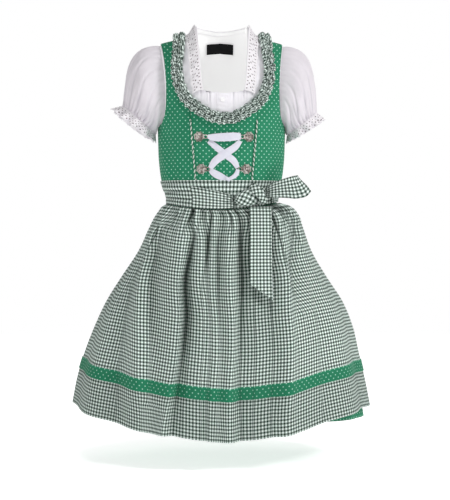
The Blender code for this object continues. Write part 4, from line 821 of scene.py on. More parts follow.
# Fold lines of the apron down the cloth: the turn in degrees at each of six shares of the length, and how
# far the line stands out there in millimetres. The cloth runs smoothly from one line to the next. A ridge
# carries the same thread all the way down.
FOLD_SHARES = np.array([0.03, 0.14, 0.27, 0.50, 0.73, 1.00])
FoldLine = namedtuple("FoldLine", "ridge t0 t1 t2 t3 t4 t5 h0 h1 h2 h3 h4 h5")
APRON_LINES = rows_of(FoldLine, [
    (1, -106, -106, -106, -106, -106, -106, 0, 0, 0, 0, 0, 0),
    (1, -94, -95, -95, -94, -94, -94, 0, 0, 1, 2, 3, 3),
    (0, -84, -86, -86, -84, -81, -79, -1, -1, -2, -3, -3, -3),
    (1, -74, -79, -77, -70, -65, -63, 1, 1, 1, 3, 4, 4),
    (0, -66, -75, -69, -58, -51, -47, 0, 0, -2, -6, -8, -7),
    (1, -60, -70, -62, -46, -38, -33, 1, 1, 3, 6, 7, 5),
    (0, -52, -61, -55, -40.5, -33, -29, -4, -7, -9, -8, -3, 1),
    (1, -36, -33.7, -30.5, -23.2, -21.8, -24, 3, 6, 8, 9, 7, 5),
    (0, -32, -27.0, -27.8, -21.6, -20.3, -20.8, -7, -12, -17, -18, -14, -10),
    (0, -28.5, -24.0, -23.5, -18.2, -17.2, -17.6, 2, 0, -5, -9, -9, -7),
    (1, -26, -20, -17.5, -12, -11, -10, 3, 3, 0, -3, -4, -4),
    (0, -21.8, -15.3, -13.5, -9, -8, -8, -7, -9, -6, -4, -5, -5),
    (1, -14, -11.5, -10, -7, -6, -6, 3, 2, 0, 0, 0, 0),
    (0, -7.3, -7.8, -6.5, -4.5, -3.5, -3.5, -7, -10, -9, -4, -1, 0),
    (1, 1.5, 1.2, 0.3, 0.8, 0.6, 0.4, 3, 6, 8, 9, 9, 7),
    (0, 11.2, 9.8, 9.5, 5.8, 5.0, 5.6, -8, -13, -14, -12, -11, -10),
    (0, 22, 20, 18, 12, 11, 10, 0, -3, -5, -8, -9, -8),
    (0, 31, 30, 27.5, 21, 19, 17, -6, -13, -13, -9, -9, -8),
    (1, 42, 38.8, 37.5, 28.2, 25.8, 23, 2, 6, 8, 10, 9, 7),
    (0, 55, 59, 45, 33.5, 30, 28, -5, -9, -8, 0, 1, 1),
    (0, 64, 66, 58, 46, 42, 40, 1, 2, 1, -2, -3, -4),
    (1, 70, 72, 66, 60, 57, 56, 1, 1, 2, 3, 4, 5),
    (0, 78, 79, 77, 75, 72, 71, -1, -1, -2, -3, -4, -5),
    (1, 86, 87, 86, 87, 86, 86, 0, 0, 1, 3, 3, 4),
    (1, 92, 92, 92, 92, 92, 92, 0, 0, 0, 0, 0, 0),
])
HEM_LIFT = 0.12  # how much a valley, drawn in, lifts the hem
HEM_SHADE = 0.20  # the hem turns in, away from the light
TUCK_HALF_WIDTH = 0.5  # degrees of turn over which a valley takes in cloth


def apron_hem(angle):
    dip = np.clip(np.cos(angle), 0, 1) ** (2.9 + 1.3 * np.sin(angle))
    return HEM_SIDES - HEM_TILT * np.sin(angle) - HEM_FRONT_DIP * dip


def sash_foot(angle):
    return -0.2710 - 0.0115 * np.clip(np.cos(angle), 0, 1) ** 2 + 0.0015 * np.sin(angle)


def flare_point(angle, share, hem, out):
    """A point of the skirt's smooth outer shape, moved out along the level normal."""
    angle, share = np.broadcast_arrays(angle, share)
    half_width = lookup(FLARE, "share", share, "half_width")
    half_depth = lookup(FLARE, "share", share, "half_depth")
    bend = 2.2 - 0.2 * np.clip(share * 4, 0, 1)
    reach = (1 - np.abs(np.sin(angle)) ** bend) ** (1 / bend)
    x = lookup(FLARE, "share", share, "middle") + half_width * np.sin(angle)
    y = -half_depth * np.sign(np.cos(angle)) * reach
    away = np.stack([np.sin(angle) / half_width, -np.cos(angle) / half_depth, 0 * angle], -1)
    height = sash_foot(angle) + share * (hem - sash_foot(angle))
    return np.stack([x, y, height], -1) + unit(away) * np.asarray(out)[..., None]


def even_slopes(x, y):
    """Slopes for a curve through points that never overshoots them."""
    secant = np.diff(y) / np.diff(x)
    same = secant[1:] * secant[:-1] > 0
    total = np.where(same, secant[1:] + secant[:-1], 1.0)
    inner = np.where(same, 2 * secant[1:] * secant[:-1] / total, 0.0)
    return np.concatenate([[0], inner, [0]])


def through(x, y, at):
    return hermite(x, y, even_slopes(x, y), at)


def line_turns(shares):
    """The turn of each fold line, one row for each share."""
    turns = np.array([line[1:7] for line in APRON_LINES], float)
    return np.array([[through(FOLD_SHARES, row, share) for row in turns] for share in shares])


def line_folds(degrees, shares):
    """How far the folds stand out, and how much cloth each place tucks in. One row for each share."""
    heights = np.array([line[7:] for line in APRON_LINES], float) / 1000
    out, tuck = [], []
    for share, turn in zip(shares, line_turns(shares)):
        height = np.array([through(FOLD_SHARES, row, share) for row in heights])
        out.append(through(turn, height, degrees))
        deep = np.clip(-height / 0.010, 0, 2)
        tuck.append(bell(degrees[:, None] - turn[None, :], TUCK_HALF_WIDTH) @ deep)
    return np.array(out), np.array(tuck)


def pleat_wave(turn, sharp):
    """A gather's section: broad rounded ridges and narrow valleys, from -1 to 1."""
    return 2 * np.abs(np.cos(turn / 2)) ** sharp - 1


def gathered(count, place, share, seed):
    """Gathers under a band: deep and narrow at the top, fading down the cloth at their own lengths.

    Also gives where their valleys are, for the cloth they tuck in."""
    wander = 0.0060 * np.sin(place * 23.0 + seed) + 0.0040 * np.sin(place * 57.0 + 1.0 + seed)
    drift = 0.012 * share * np.sin(place * 31.0 + 2.0 + seed)
    phase = 2 * math.pi * count * (place + wander + drift)
    start = np.clip(share / 0.010, 0, 1) ** 0.7
    strength = 1 + 0.40 * np.sin(place * 71.0 + seed) + 0.25 * np.sin(place * 131.0 + 2 * seed)
    long_ones = np.clip(0.5 + 0.5 * np.sin(place * 97.0 + 0.7 + seed), 0, 1) ** 2
    fade = np.exp(-np.clip(share - 0.015, 0, 1) / (0.045 + 0.10 * long_ones))
    small = 0.0012 * pleat_wave(2.0 * phase + 1.7 * np.sin(place * 41.0), 1.3) * np.exp(-share / 0.05)
    valley = bell(np.cos(phase / 2), 0.15) * np.clip(strength, 0.3, 2) * fade
    return start * (0.0034 * strength * fade * (pleat_wave(phase, 0.9) - 0.1) + small), valley


def apron_degrees():
    """Turns of the panel's columns: close together in front, wider apart behind."""
    right = np.linspace(APRON_EDGES[0], -APRON_FRONT, 34)[:-1]
    left = np.linspace(APRON_FRONT, APRON_EDGES[1], 20)[1:]
    return np.concatenate([right, np.linspace(-APRON_FRONT, APRON_FRONT, APRON_COLUMNS), left])


def apron_surface(shares, degrees):
    """The panel's points, and for each the cloth that it tucks in and the painted shade on it: in folds and
    gathers, at the hem and beside the bow's tail.
    """
    folds, tuck = line_folds(degrees, shares)
    place = ((degrees - degrees[0]) / (degrees[-1] - degrees[0]))[None, :]
    angle, share = np.radians(degrees)[None, :], shares[:, None]
    small, valley = gathered(APRON_GATHERS, place, share, 0.0)
    small = 1.35 * small
    out = np.clip(share / 0.012, 0, 1) * folds + small - 0.0010
    hem = apron_hem(angle) + HEM_LIFT * np.clip(-folds[-1:], 0, 1)
    grid = flare_point(angle, share, hem, out)
    hidden = tuck + 1.2 * valley
    broad = np.clip(-folds / 0.020, 0, 1) ** 1.5 * np.clip(0.10 + share / 0.25, 0, 1)
    shade = 0.65 * np.clip(tuck + 2.4 * valley, 0, 1.6) + 0.60 * np.clip(-small / 0.0030, 0, 1) + broad
    shade = shade * (1 - 0.55 * np.clip((share - 0.45) / 0.25, 0, 1)) + HEM_SHADE * (share > TRIM_TOP)
    return grid, hidden + 0.002, np.clip(np.maximum(shade, beside_tail(grid)), 0, 1)


def beside_tail(grid):
    """The shade that the bow's tail throws on the cloth close beside it."""
    x, height = grid[..., 0], grid[..., 2]
    inner, outer = (
        np.interp(height, (TAIL_END_OUTER, TAIL_TOP), ends) for ends in zip(TAIL_END_X, TAIL_TOP_X)
    )
    away = np.clip(np.maximum(inner - x, x - outer), 0, 1)
    near = np.clip((height - TAIL_END_INNER) / 0.010, 0, 1) * (height < TAIL_SHADE_TOP)
    return TAIL_SHADE * near * bell(away, TAIL_SHADE_REACH) * (grid[..., 1] < 0)


def cloth_across(grid, degrees, shares, tuck):
    """Cloth used up to each point of each row. Each ridge keeps its thread the whole way down, so the check
    runs along it at its true size, and cloth that a row doesn't show is tucked into the valleys between."""
    ridges = [i for i, line in enumerate(APRON_LINES) if line.ridge]
    step = np.linalg.norm(np.diff(grid, axis=1), axis=-1)
    start = np.zeros((len(grid), 1))
    length = np.concatenate([start, np.cumsum(step, 1)], 1)
    weight = np.concatenate([start, np.cumsum(step * (tuck[:, 1:] + tuck[:, :-1]) / 2, 1)], 1)
    turns = line_turns(shares)[:, ridges]
    length_at = np.array([np.interp(t, degrees, row) for t, row in zip(turns, length)])
    weight_at = np.array([np.interp(t, degrees, row) for t, row in zip(turns, weight)])
    shown = np.diff(length_at, axis=1)
    cut = shown.max(0)
    thread = np.concatenate([[0], np.cumsum(cut)])
    used = []
    for r, turn in enumerate(turns):
        k = np.clip(np.searchsorted(turn, degrees, side="right") - 1, 0, len(cut) - 1)
        part = (weight[r] - weight_at[r, k]) / (weight_at[r, k + 1] - weight_at[r, k])
        used.append(thread[k] + length[r] - length_at[r, k] + (cut[k] - shown[r, k]) * part)
    return np.array(used)


def apron_rows():
    """Shares of the apron's length for its rows, close together at the gathers, the trim and the hem."""
    bends = (0, 0.16, TRIM_TOP, TRIM_TOP + TRIM_WIDTH, 0.985)
    runs = [np.linspace(a, b, count)[:-1] for a, b, count in zip(bends, bends[1:], (22, 32, 5, 9))]
    return np.concatenate([*runs, [0.985, 0.993, 1.0]])


def build_apron():
    shares, degrees = apron_rows(), apron_degrees()
    grid, tuck, shade = apron_surface(shares, degrees)
    n = outward(grid)
    u = cloth_across(grid, degrees, shares, tuck)
    uv = paired(u, shares[:, None] * APRON_LENGTH)
    panel = cloth("apron_cloth", grid, n, -APRON_THICKNESS, 0.0, uv, GINGHAM, shade=shade)
    stands_for("apron_panel")
    first, last = (int(np.argmin(np.abs(shares - at))) for at in (TRIM_TOP, TRIM_TOP + TRIM_WIDTH))
    band = slice(first, last + 1)
    trim = cloth(
        "apron_band", grid[band], n[band], TRIM_IN_APRON, TRIM_OUT_APRON, uv[band], DOTTED, shade=shade[band]
    )
    stands_for("apron_trim")


def skirt_hem(angle):
    return SKIRT_HEM - SKIRT_HEM_TILT * np.sin(angle)


def skirt_folds(degrees, share):
    middle = np.clip((78.0 - np.abs(np.abs(degrees) - 180.0)) / 22.0, 0, 1)
    turn = np.radians(degrees)
    wave = np.cos(13 * turn + 0.9 * np.sin(3 * turn)) + 0.45 * np.cos(21 * turn + 1.3)
    return middle * 0.0065 * share**0.7 * wave


def skirt_inset(degrees, share):
    off_front = np.abs((degrees + 180.0) % 360.0 - 180.0)
    deep = np.clip((90.0 - off_front) / 14.0, 0, 1)
    under = np.clip((116.0 - off_front) / 8.0, 0, 1)
    return 0.0030 + 0.0034 * under + deep * (0.0025 + 0.0105 * np.clip(share * 2, 0, 1))


def under_folds(degrees, shares):
    """How deep the apron comes near each place of the skirt, which is cut a little shorter in front."""
    near = np.arange(-UNDER_REACH, UNDER_REACH + 0.1, 0.5)
    same_height = SHARE_OF_APRON * shares
    deepest = np.min([line_folds(degrees + away, same_height)[0] for away in near], axis=0)
    flared = lookup(FLARE, "share", shares, "half_depth") - lookup(FLARE, "share", same_height, "half_depth")
    return deepest - flared[:, None]


def skirt_ring(angle, level):
    return form_round(angle, level) + round_normals(angle, level) * (BODICE_OUT - SEAM)


def build_skirt():
    for name, start, end, columns, rows, node in (
        ("skirt_cloth_front", -90 + PARTING, 90 - PARTING, 121, 42, "skirt_front"),
        ("skirt_cloth_back", 90 + PARTING, 270 - PARTING, 271, 54, "skirt_back"),
    ):
        degrees = np.linspace(start, end, columns)[None, :]
        runs = np.linspace(0.012, 0.16, rows // 3)[:-1], np.linspace(0.16, 1.0, rows * 2 // 3)
        share = np.concatenate(runs)[:, None]
        angle = np.radians(degrees)
        out = -skirt_inset(degrees, share)
        if node == "skirt_back":
            place = (degrees - start) / (end - start)
            ends = np.clip(np.minimum(place, 1 - place) / 0.03, 0, 1)
            out = out + skirt_folds(degrees, share) + ends * gathered(SKIRT_GATHERS, place, share, 2.0)[0]
        else:
            deeper = np.clip(under_folds(degrees[0], share[:, 0]) - UNDER_FOLDS - out, -1, 0)
            out = out + deeper * np.clip((90 - np.abs(degrees)) / 10.0, 0, 1)
        yoke = [skirt_ring(angle[0], WAIST - 0.0012), skirt_ring(angle[0], sash_foot(angle[0]) + GAP)]
        grid = np.concatenate([yoke, flare_point(angle, share, skirt_hem(angle), out)])
        n = outward(grid)
        u, v = arc(grid[-1]), arc(grid[:, columns // 2])
        piece = cloth(name, grid, n, -SKIRT_THICKNESS, 0.0, paired(u[None, :], v[:, None]), DOTTED)
        stands_for(node)


# ---- sash ---------------------------------------------------------------------------------------


def band_top(degrees):
    return -0.2322 - 0.0012 * np.clip(np.cos(np.radians(degrees)), 0, 1)


def band_foot(degrees):
    return sash_foot(np.radians(degrees)) + GAP


TIE_FRONT_TURN, TIE_WRAP_TURN = (-33.0, 9.0), (58.0, 254.0)
TIE_WIDTH = 0.036  # of the waistband too
CREASE_DEPTH = 0.0014  # as deep as this, a crease takes full painted shade
TIE_EDGE_SHADE = 0.8


def sash_piece(name, node, turns, size, bottom, top, walls, relief, edge_shade):
    """A band round the waist between two levels, with its creases and painted shade in them and at its edges.
    """
    (rows, columns), (low, high) = size, walls
    degrees, t = np.linspace(*turns, columns)[None, :], np.linspace(0, 1, rows)[:, None]
    level = bottom(degrees) + t * (top(degrees) - bottom(degrees))
    grid, n = form_round(np.radians(degrees), level), round_normals(np.radians(degrees), level)
    lift = relief(degrees, t)
    u = arc(grid[rows // 2])
    shade = np.clip(-lift / CREASE_DEPTH + edge_shade(degrees, t), 0, 1)
    piece = cloth(name, grid, n, low, high + lift, paired(u[None, :], t * TIE_WIDTH), GINGHAM, shade=shade)
    stands_for(node)


def bumps(degrees, t, folds):
    """How far the folds along a band stand out."""
    return sum(
        lift * bell(t - high - slope * (degrees - turn), half_high) * bell(degrees - turn, half_turn)
        for turn, high, half_turn, half_high, slope, lift in folds
    )


# Folds along a band: middle turn, middle share of its height, their half sizes, slope and lift.
BAND_FOLDS = [
    (-64.0, 0.86, 26.0, 0.05, 0.0010, -0.0008),
    (-64.0, 0.72, 26.0, 0.08, 0.0014, 0.0013),
    (-62.0, 0.56, 26.0, 0.05, 0.0022, -0.0012),
    (-60.0, 0.42, 24.0, 0.07, 0.0012, 0.0012),
    (-58.0, 0.28, 24.0, 0.05, 0.0008, -0.0011),
    (-60.0, 0.15, 24.0, 0.07, 0.0, 0.0012),
    (-60.0, 0.03, 30.0, 0.04, 0.0, -0.0006),
    (-10.0, 0.78, 20.0, 0.10, -0.0120, 0.0006),
    (30.0, 0.60, 20.0, 0.12, -0.0020, 0.0006),
]
TIE_FOLDS = [
    (4.0, 0.86, 6.0, 0.05, -0.030, -0.0011),
    (4.0, 0.72, 6.0, 0.07, -0.030, 0.0013),
    (5.0, 0.60, 6.0, 0.04, -0.020, -0.0012),
    (5.0, 0.48, 6.0, 0.06, -0.015, 0.0013),
    (5.0, 0.35, 6.0, 0.04, -0.008, -0.0012),
    (5.0, 0.22, 6.0, 0.07, 0.0, 0.0012),
    (-12.0, 0.62, 18.0, 0.14, 0.004, 0.0005),
]
WRAP_FOLDS = [
    (72.0, 0.70, 22.0, 0.10, 0.003, 0.0009),
    (72.0, 0.52, 22.0, 0.05, 0.002, -0.0009),
    (72.0, 0.35, 22.0, 0.09, 0.001, 0.0009),
    (140.0, 0.55, 40.0, 0.10, 0.001, 0.0006),
    (225.0, 0.45, 30.0, 0.10, -0.002, 0.0007),
]


def tie_share(degrees):
    """0 at the front tie's free edge and 1 at the knot."""
    return (degrees - TIE_FRONT_TURN[0]) / (TIE_FRONT_TURN[1] - TIE_FRONT_TURN[0])


def tie_top(degrees):
    return -0.2428 - 0.0150 * np.clip(tie_share(degrees), 0, 2) ** 1.3


def under_tie(degrees, t):
    """The shade that the front tie throws on the band, past its free edge and along its top."""
    share = tie_share(degrees)
    top = (tie_top(degrees) - band_foot(degrees)) / (band_top(degrees) - band_foot(degrees))
    along = 0.75 * np.exp(-np.clip(t - top, 0, 1) / 0.045) * (np.abs(share - 0.5) <= 0.56)
    before = np.exp(-np.clip(TIE_FRONT_TURN[0] - degrees, 0, 60) / 0.9) * (t <= top + 0.02)
    past_knot = 0.75 * bell(degrees - 64.0, 4.0) * bell(t - 0.45, 0.4)
    return np.where(share < 0, before, along) + past_knot


def band_relief(degrees, t):
    """The waistband's creases, which lie flat on the side with the bow."""
    return np.clip(bumps(degrees, t, BAND_FOLDS), -0.0008, 0.0014) * np.clip((-20 - degrees) / 10, 0.15, 1)


def build_sash():
    sash_piece(
        "waistband_cloth", "apron_waistband", (-104, 91), (30, 160), band_foot, band_top, (BAND_IN, BAND_OUT),
        relief=band_relief, edge_shade=under_tie,
    )
    sash_piece(
        "tie_front_cloth", "tie_front", TIE_FRONT_TURN, (30, 90),
        lambda d: band_foot(d) + 0.0010 * tie_share(d) ** 2, tie_top, (TIE_IN, TIE_OUT),
        relief=lambda d, t: bumps(d, t, TIE_FOLDS),
        edge_shade=lambda d, t: TIE_EDGE_SHADE * np.exp(-np.clip(1 - tie_share(d), 0, 1) / 0.05),
    )
    sash_piece(
        "tie_wrap_cloth", "tie_wrap", TIE_WRAP_TURN, (24, 190),
        lambda d: band_foot(d) + 0.0006, lambda d: -0.2470 + 0.0030 * np.cos(np.radians(d - 150)),
        (TIE_IN, TIE_OUT), relief=lambda d, t: bumps(d, t, WRAP_FOLDS),
        edge_shade=lambda d, t: TIE_EDGE_SHADE * np.exp(-(d - TIE_WRAP_TURN[0]) / 2.0),
    )


# ---- bow ----------------------------------------------------------------------------------------

KnotRing = namedtuple("KnotRing", "x y height half_height half_thick")
KNOT = rows_of(KnotRing, [
    (0.0165, -0.0787, -0.2662, 0.0052, 0.0020), (0.0250, -0.0793, -0.2651, 0.0105, 0.0042),
    (0.0380, -0.0779, -0.2622, 0.0145, 0.0060), (0.0510, -0.0749, -0.2595, 0.0162, 0.0068),
    (0.0620, -0.0702, -0.2580, 0.0148, 0.0058), (0.0700, -0.0662, -0.2565, 0.0105, 0.0034),
])
LoopPoint = namedtuple("LoopPoint", "place x y height half_width slant")
BOW_LOOP = rows_of(LoopPoint, [
    (0.00, 0.0705, -0.0664, -0.2530, 0.0088, 0.000), (0.10, 0.0815, -0.0708, -0.2498, 0.0124, 0.000),
    (0.24, 0.1010, -0.0755, -0.2468, 0.0158, 0.002), (0.38, 0.1190, -0.0760, -0.2450, 0.0184, 0.005),
    (0.47, 0.1300, -0.0735, -0.2415, 0.0160, 0.0100), (0.50, 0.1335, -0.0700, -0.2382, 0.0132, 0.0115),
    (0.53, 0.1296, -0.0660, -0.2418, 0.0156, 0.0100), (0.64, 0.1180, -0.0640, -0.2456, 0.0172, 0.005),
    (0.78, 0.1010, -0.0625, -0.2480, 0.0145, 0.002), (0.90, 0.0880, -0.0610, -0.2502, 0.0114, 0.000),
    (1.00, 0.0800, -0.0595, -0.2520, 0.0090, 0.000),
])
BOW_THICKNESS, BOW_PLEAT, LOOP_PLEATS = 0.0011, 0.0011, 7.0
TAIL_TOP, TAIL_END_INNER, TAIL_END_OUTER = -0.2775, -0.4035, -0.4285
TAIL_TOP_X, TAIL_END_X = (0.0425, 0.0780), (0.0391, 0.0755)
TAIL_OFF, TAIL_TOP_OFF, TAIL_WIDTH, TAIL_CUT = 0.0072, 0.0150, 0.0365, (0.037, 0.152)
TAIL_SHADE, TAIL_SHADE_REACH, TAIL_SHADE_TOP = 0.80, 0.0034, -0.2800
KNOT_GIRTH, KNOT_LENGTH, KNOT_SLANT = 0.06, 0.055, (0.82, 0.57)

WrapPoint = namedtuple("WrapPoint", "x y height half_width")
KNOT_WRAP = rows_of(WrapPoint, [
    (0.0440, -0.0765, -0.2425, 0.0058), (0.0490, -0.0828, -0.2465, 0.0072),
    (0.0560, -0.0852, -0.2530, 0.0078), (0.0620, -0.0838, -0.2605, 0.0070),
    (0.0655, -0.0790, -0.2680, 0.0056), (0.0665, -0.0740, -0.2735, 0.0044),
])


def build_knot_wrap():
    """The turn of the tie that crosses over the knot and goes down behind it."""
    (x, y, height, half), place = between_rows(KNOT_WRAP, 60)
    line = paired(x, y, height)
    along = unit(np.gradient(line, axis=0))
    over = unit(np.cross(FRONT, along))
    out = unit(np.cross(over, along))
    out = np.where((out @ FRONT)[:, None] < 0, -out, out)
    s = np.linspace(-1, 1, 25)[None, :]
    crown = 0.0016 * (1 - s**2) + 0.0005 * np.cos(5 * s + 0.72 * place[:, None])
    across, length = half[:, None] * s, arc(line)[:, None]
    grid = line[:, None] + over[:, None] * across[..., None] + out[:, None] * crown[..., None]
    uv = paired(0.8 * across + 0.6 * length, 0.8 * length - 0.6 * across)
    shade = np.clip((np.exp(-place / 0.30) + np.exp(-(5 - place) / 0.40))[:, None] + 0.5 * s**12, 0, 1)
    wrap = cloth("bow_knot_wrap", grid, facing(normals(grid), FRONT), -0.0012, 0.0, uv, GINGHAM, shade=shade)
    stands_for("bow_knot")


def build_knot():
    (x, y, height, half_height, half_thick), at = between_rows(KNOT, 60)
    turn, place = full_turn(72)[None, :], at[:, None]
    crossing = 0.10 * np.cos(3 * (turn + place * 0.9)) * np.sin(math.pi * place / 5)
    dent = 1 - 0.16 * bell(place - 2.6, 0.35) * (0.6 + 0.4 * np.cos(turn * 2))
    swell_out = half_thick[:, None] * np.cos(turn) * (0.92 + crossing) * dent
    swell_up = half_height[:, None] * np.sin(turn) * (0.96 + 0.4 * crossing) * dent
    rings = paired(x, y, height)[:, None] + FRONT * swell_out[..., None] + UP * swell_up[..., None]
    ends = np.exp(-place / 0.35) + np.exp(-(5 - place) / 0.35) + 0.8 * bell(place - 3.35, 0.30)
    pleats = np.clip(np.cos(6 * turn + 0.8 * place), 0, 1) ** 4 * np.exp(-place / 0.8)
    shade = np.clip(ends + 0.8 * pleats, 0, 1)
    length = KNOT_LENGTH * at / 5
    knot = ring_solid("bow_knot_cloth", rings, length, KNOT_GIRTH, GINGHAM, shade=shade, slant=KNOT_SLANT)
    stands_for("bow_knot")


def build_loop():
    place, s = np.linspace(0, 1, 130)[:, None], np.linspace(-1, 1, 31)[None, :]
    x, y, height, half, slant = (lookup(BOW_LOOP, "place", place, name) for name in LoopPoint._fields[1:])
    pull = np.exp(-place / 0.10) + np.exp(-(1 - place) / 0.10)
    pleated = np.cos(LOOP_PLEATS * s + 0.6)
    pleat = BOW_PLEAT * pull * pleated + 0.0006 * np.cos(3.2 * s + 9 * place)
    loop = paired(x - slant * s, y, height + half * s)
    length = arc(loop[:, 15])
    shade = np.clip(0.9 * np.exp(-place / 0.045) + 0.5 * (place > 0.53), 0, 1)
    shade = np.clip(shade + 0.35 * pull * np.clip(pleated, 0, 1) ** 3, 0, 1)
    low, high = pleat - BOW_THICKNESS / 2, pleat + BOW_THICKNESS / 2
    uv = paired(length[:, None], TIE_WIDTH / 2 * s)
    body = cloth("bow_loop_cloth", loop, normals(loop), low, high, uv, GINGHAM, shade=shade)
    stands_for("bow_loop")


def build_tail():
    s, t = np.linspace(0, 1, 31)[None, :], np.linspace(0, 1, 90)[:, None]
    end = TAIL_END_INNER + (TAIL_END_OUTER - TAIL_END_INNER) * s
    height = TAIL_TOP + t * (end - TAIL_TOP)
    inner = TAIL_TOP_X[0] + t * (TAIL_END_X[0] - TAIL_TOP_X[0])
    outer = TAIL_TOP_X[1] + t * (TAIL_END_X[1] - TAIL_TOP_X[1])
    x = inner + (outer - inner) * s
    share = (height - sash_foot(0.5)) / (apron_hem(0.4) - sash_foot(0.5))
    half_width, half_depth, middle = (lookup(FLARE, "share", share, name) for name in Flare._fields[1:])
    lift = TAIL_OFF + TAIL_TOP_OFF * s * np.exp(-t / 0.12)
    lift = lift + 0.0008 * np.cos(5.5 * s + 1.0) * np.exp(-t / 0.35) + 0.0007 * np.sin(6 * t + 2 * s)
    tail = paired(x, -half_depth * np.sqrt(1 - ((x - middle) / half_width) ** 2) - lift, height)
    uv = paired(TAIL_WIDTH * s, height)
    piece = cloth("bow_tail_cloth", tail, outward(tail), 0.0, BOW_THICKNESS, uv, GINGHAM)
    stands_for("bow_tail")


# ---- lacing -------------------------------------------------------------------------------------

HOOK_RADIUS = 0.0092
RING_RADIUS, RING_WIRE = 0.0034, 0.0008
HOOK_PLACES = {"upper": (0.0405, -0.1620), "lower": (0.0365, -0.2150)}
PETALS = 8
RIBBON_LAYER, RIBBON_THICKNESS, RIBBON_CROWN = 0.0015, 0.0008, 0.0006
KNOT_LINE = ((0.0025, -0.2280), (0.0045, -0.2300), (0.0065, -0.2318), (0.0095, -0.2335))
KNOT_RADIUS, KNOT_STAND = 0.0027, 0.0028
# Each ribbon's layer over the bodice, and its route as x, level and half width.
RibbonPoint = namedtuple("RibbonPoint", "x level half_width")
RIBBON_RUNS = {
    "ribbon_cross_under": (0, [
        (-0.0250, -0.1690, 0.0040), (-0.0130, -0.1790, 0.0050), (0.0010, -0.1905, 0.0055),
        (0.0150, -0.2010, 0.0055), (0.0222, -0.2130, 0.0036),
    ]),
    "ribbon_cross_over": (1, [
        (0.0260, -0.1690, 0.0035), (0.0175, -0.1790, 0.0055), (0.0010, -0.1905, 0.0062),
        (-0.0140, -0.2020, 0.0060), (-0.0222, -0.2140, 0.0040),
    ]),
    "ribbon_top": (2, [
        (-0.0262, -0.1620, 0.0032), (-0.0160, -0.1635, 0.0060), (0.0010, -0.1630, 0.0068),
        (0.0170, -0.1620, 0.0066), (0.0265, -0.1615, 0.0050),
    ]),
    "ribbon_low_right": (0, [
        (-0.0225, -0.2150, 0.0034), (-0.0185, -0.2200, 0.0050), (-0.0105, -0.2250, 0.0060),
        (-0.0010, -0.2293, 0.0048), (0.0050, -0.2315, 0.0028),
    ]),
    "ribbon_low_left": (1, [
        (0.0222, -0.2155, 0.0028), (0.0205, -0.2220, 0.0036), (0.0160, -0.2272, 0.0034),
        (0.0085, -0.2312, 0.0026),
    ]),
}


def build_lacing():
    for name, (layer, line) in RIBBON_RUNS.items():
        low = TRIM_IN + layer * RIBBON_LAYER
        (x, level, half), place = between_rows(rows_of(RibbonPoint, line), 60)
        run = unit(paired(np.gradient(x), np.gradient(level)))
        s = np.linspace(-1, 1, 17)[None, :]
        across = s * half[:, None]
        grid, n = on_form(x[:, None] - run[:, 1:] * across, level[:, None] + run[:, :1] * across, -1)
        t = (place / (len(line) - 1))[:, None]
        ends = np.exp(-t / 0.12) + np.exp(-(1 - t) / 0.12)
        relief = (RIBBON_CROWN + 0.0005 * ends * np.cos(4.5 * s + 1.0)) * (1 - s**2)
        uv, high = paired(across, arc(grid[:, 8])[:, None]), low + RIBBON_THICKNESS + relief
        piece = cloth(f"{name}_satin", grid, n, low + relief * 0.6, high, uv, SATIN)
        stands_for(name)
    centre, out = on_form(*zip(*KNOT_LINE), -1)
    line = centre + out * (TRIM_IN + RIBBON_LAYER + KNOT_STAND)
    t = np.linspace(0, 1, 30)
    fine = paired(*(smooth(np.linspace(0, 1, len(line)), values, t) for values in line.T))
    radius = KNOT_RADIUS * (0.75 + 0.35 * np.sin(math.pi * t)) * (1 + 0.08 * np.cos(22 * t))
    knot = tube("ribbon_knot_satin", fine, radius, 20, SATIN)
    stands_for("ribbon_knot")
    for row, (away, level) in HOOK_PLACES.items():
        for side, hand in HANDS:
            build_hook(f"hook_{row}_{side}", hand, away, level)


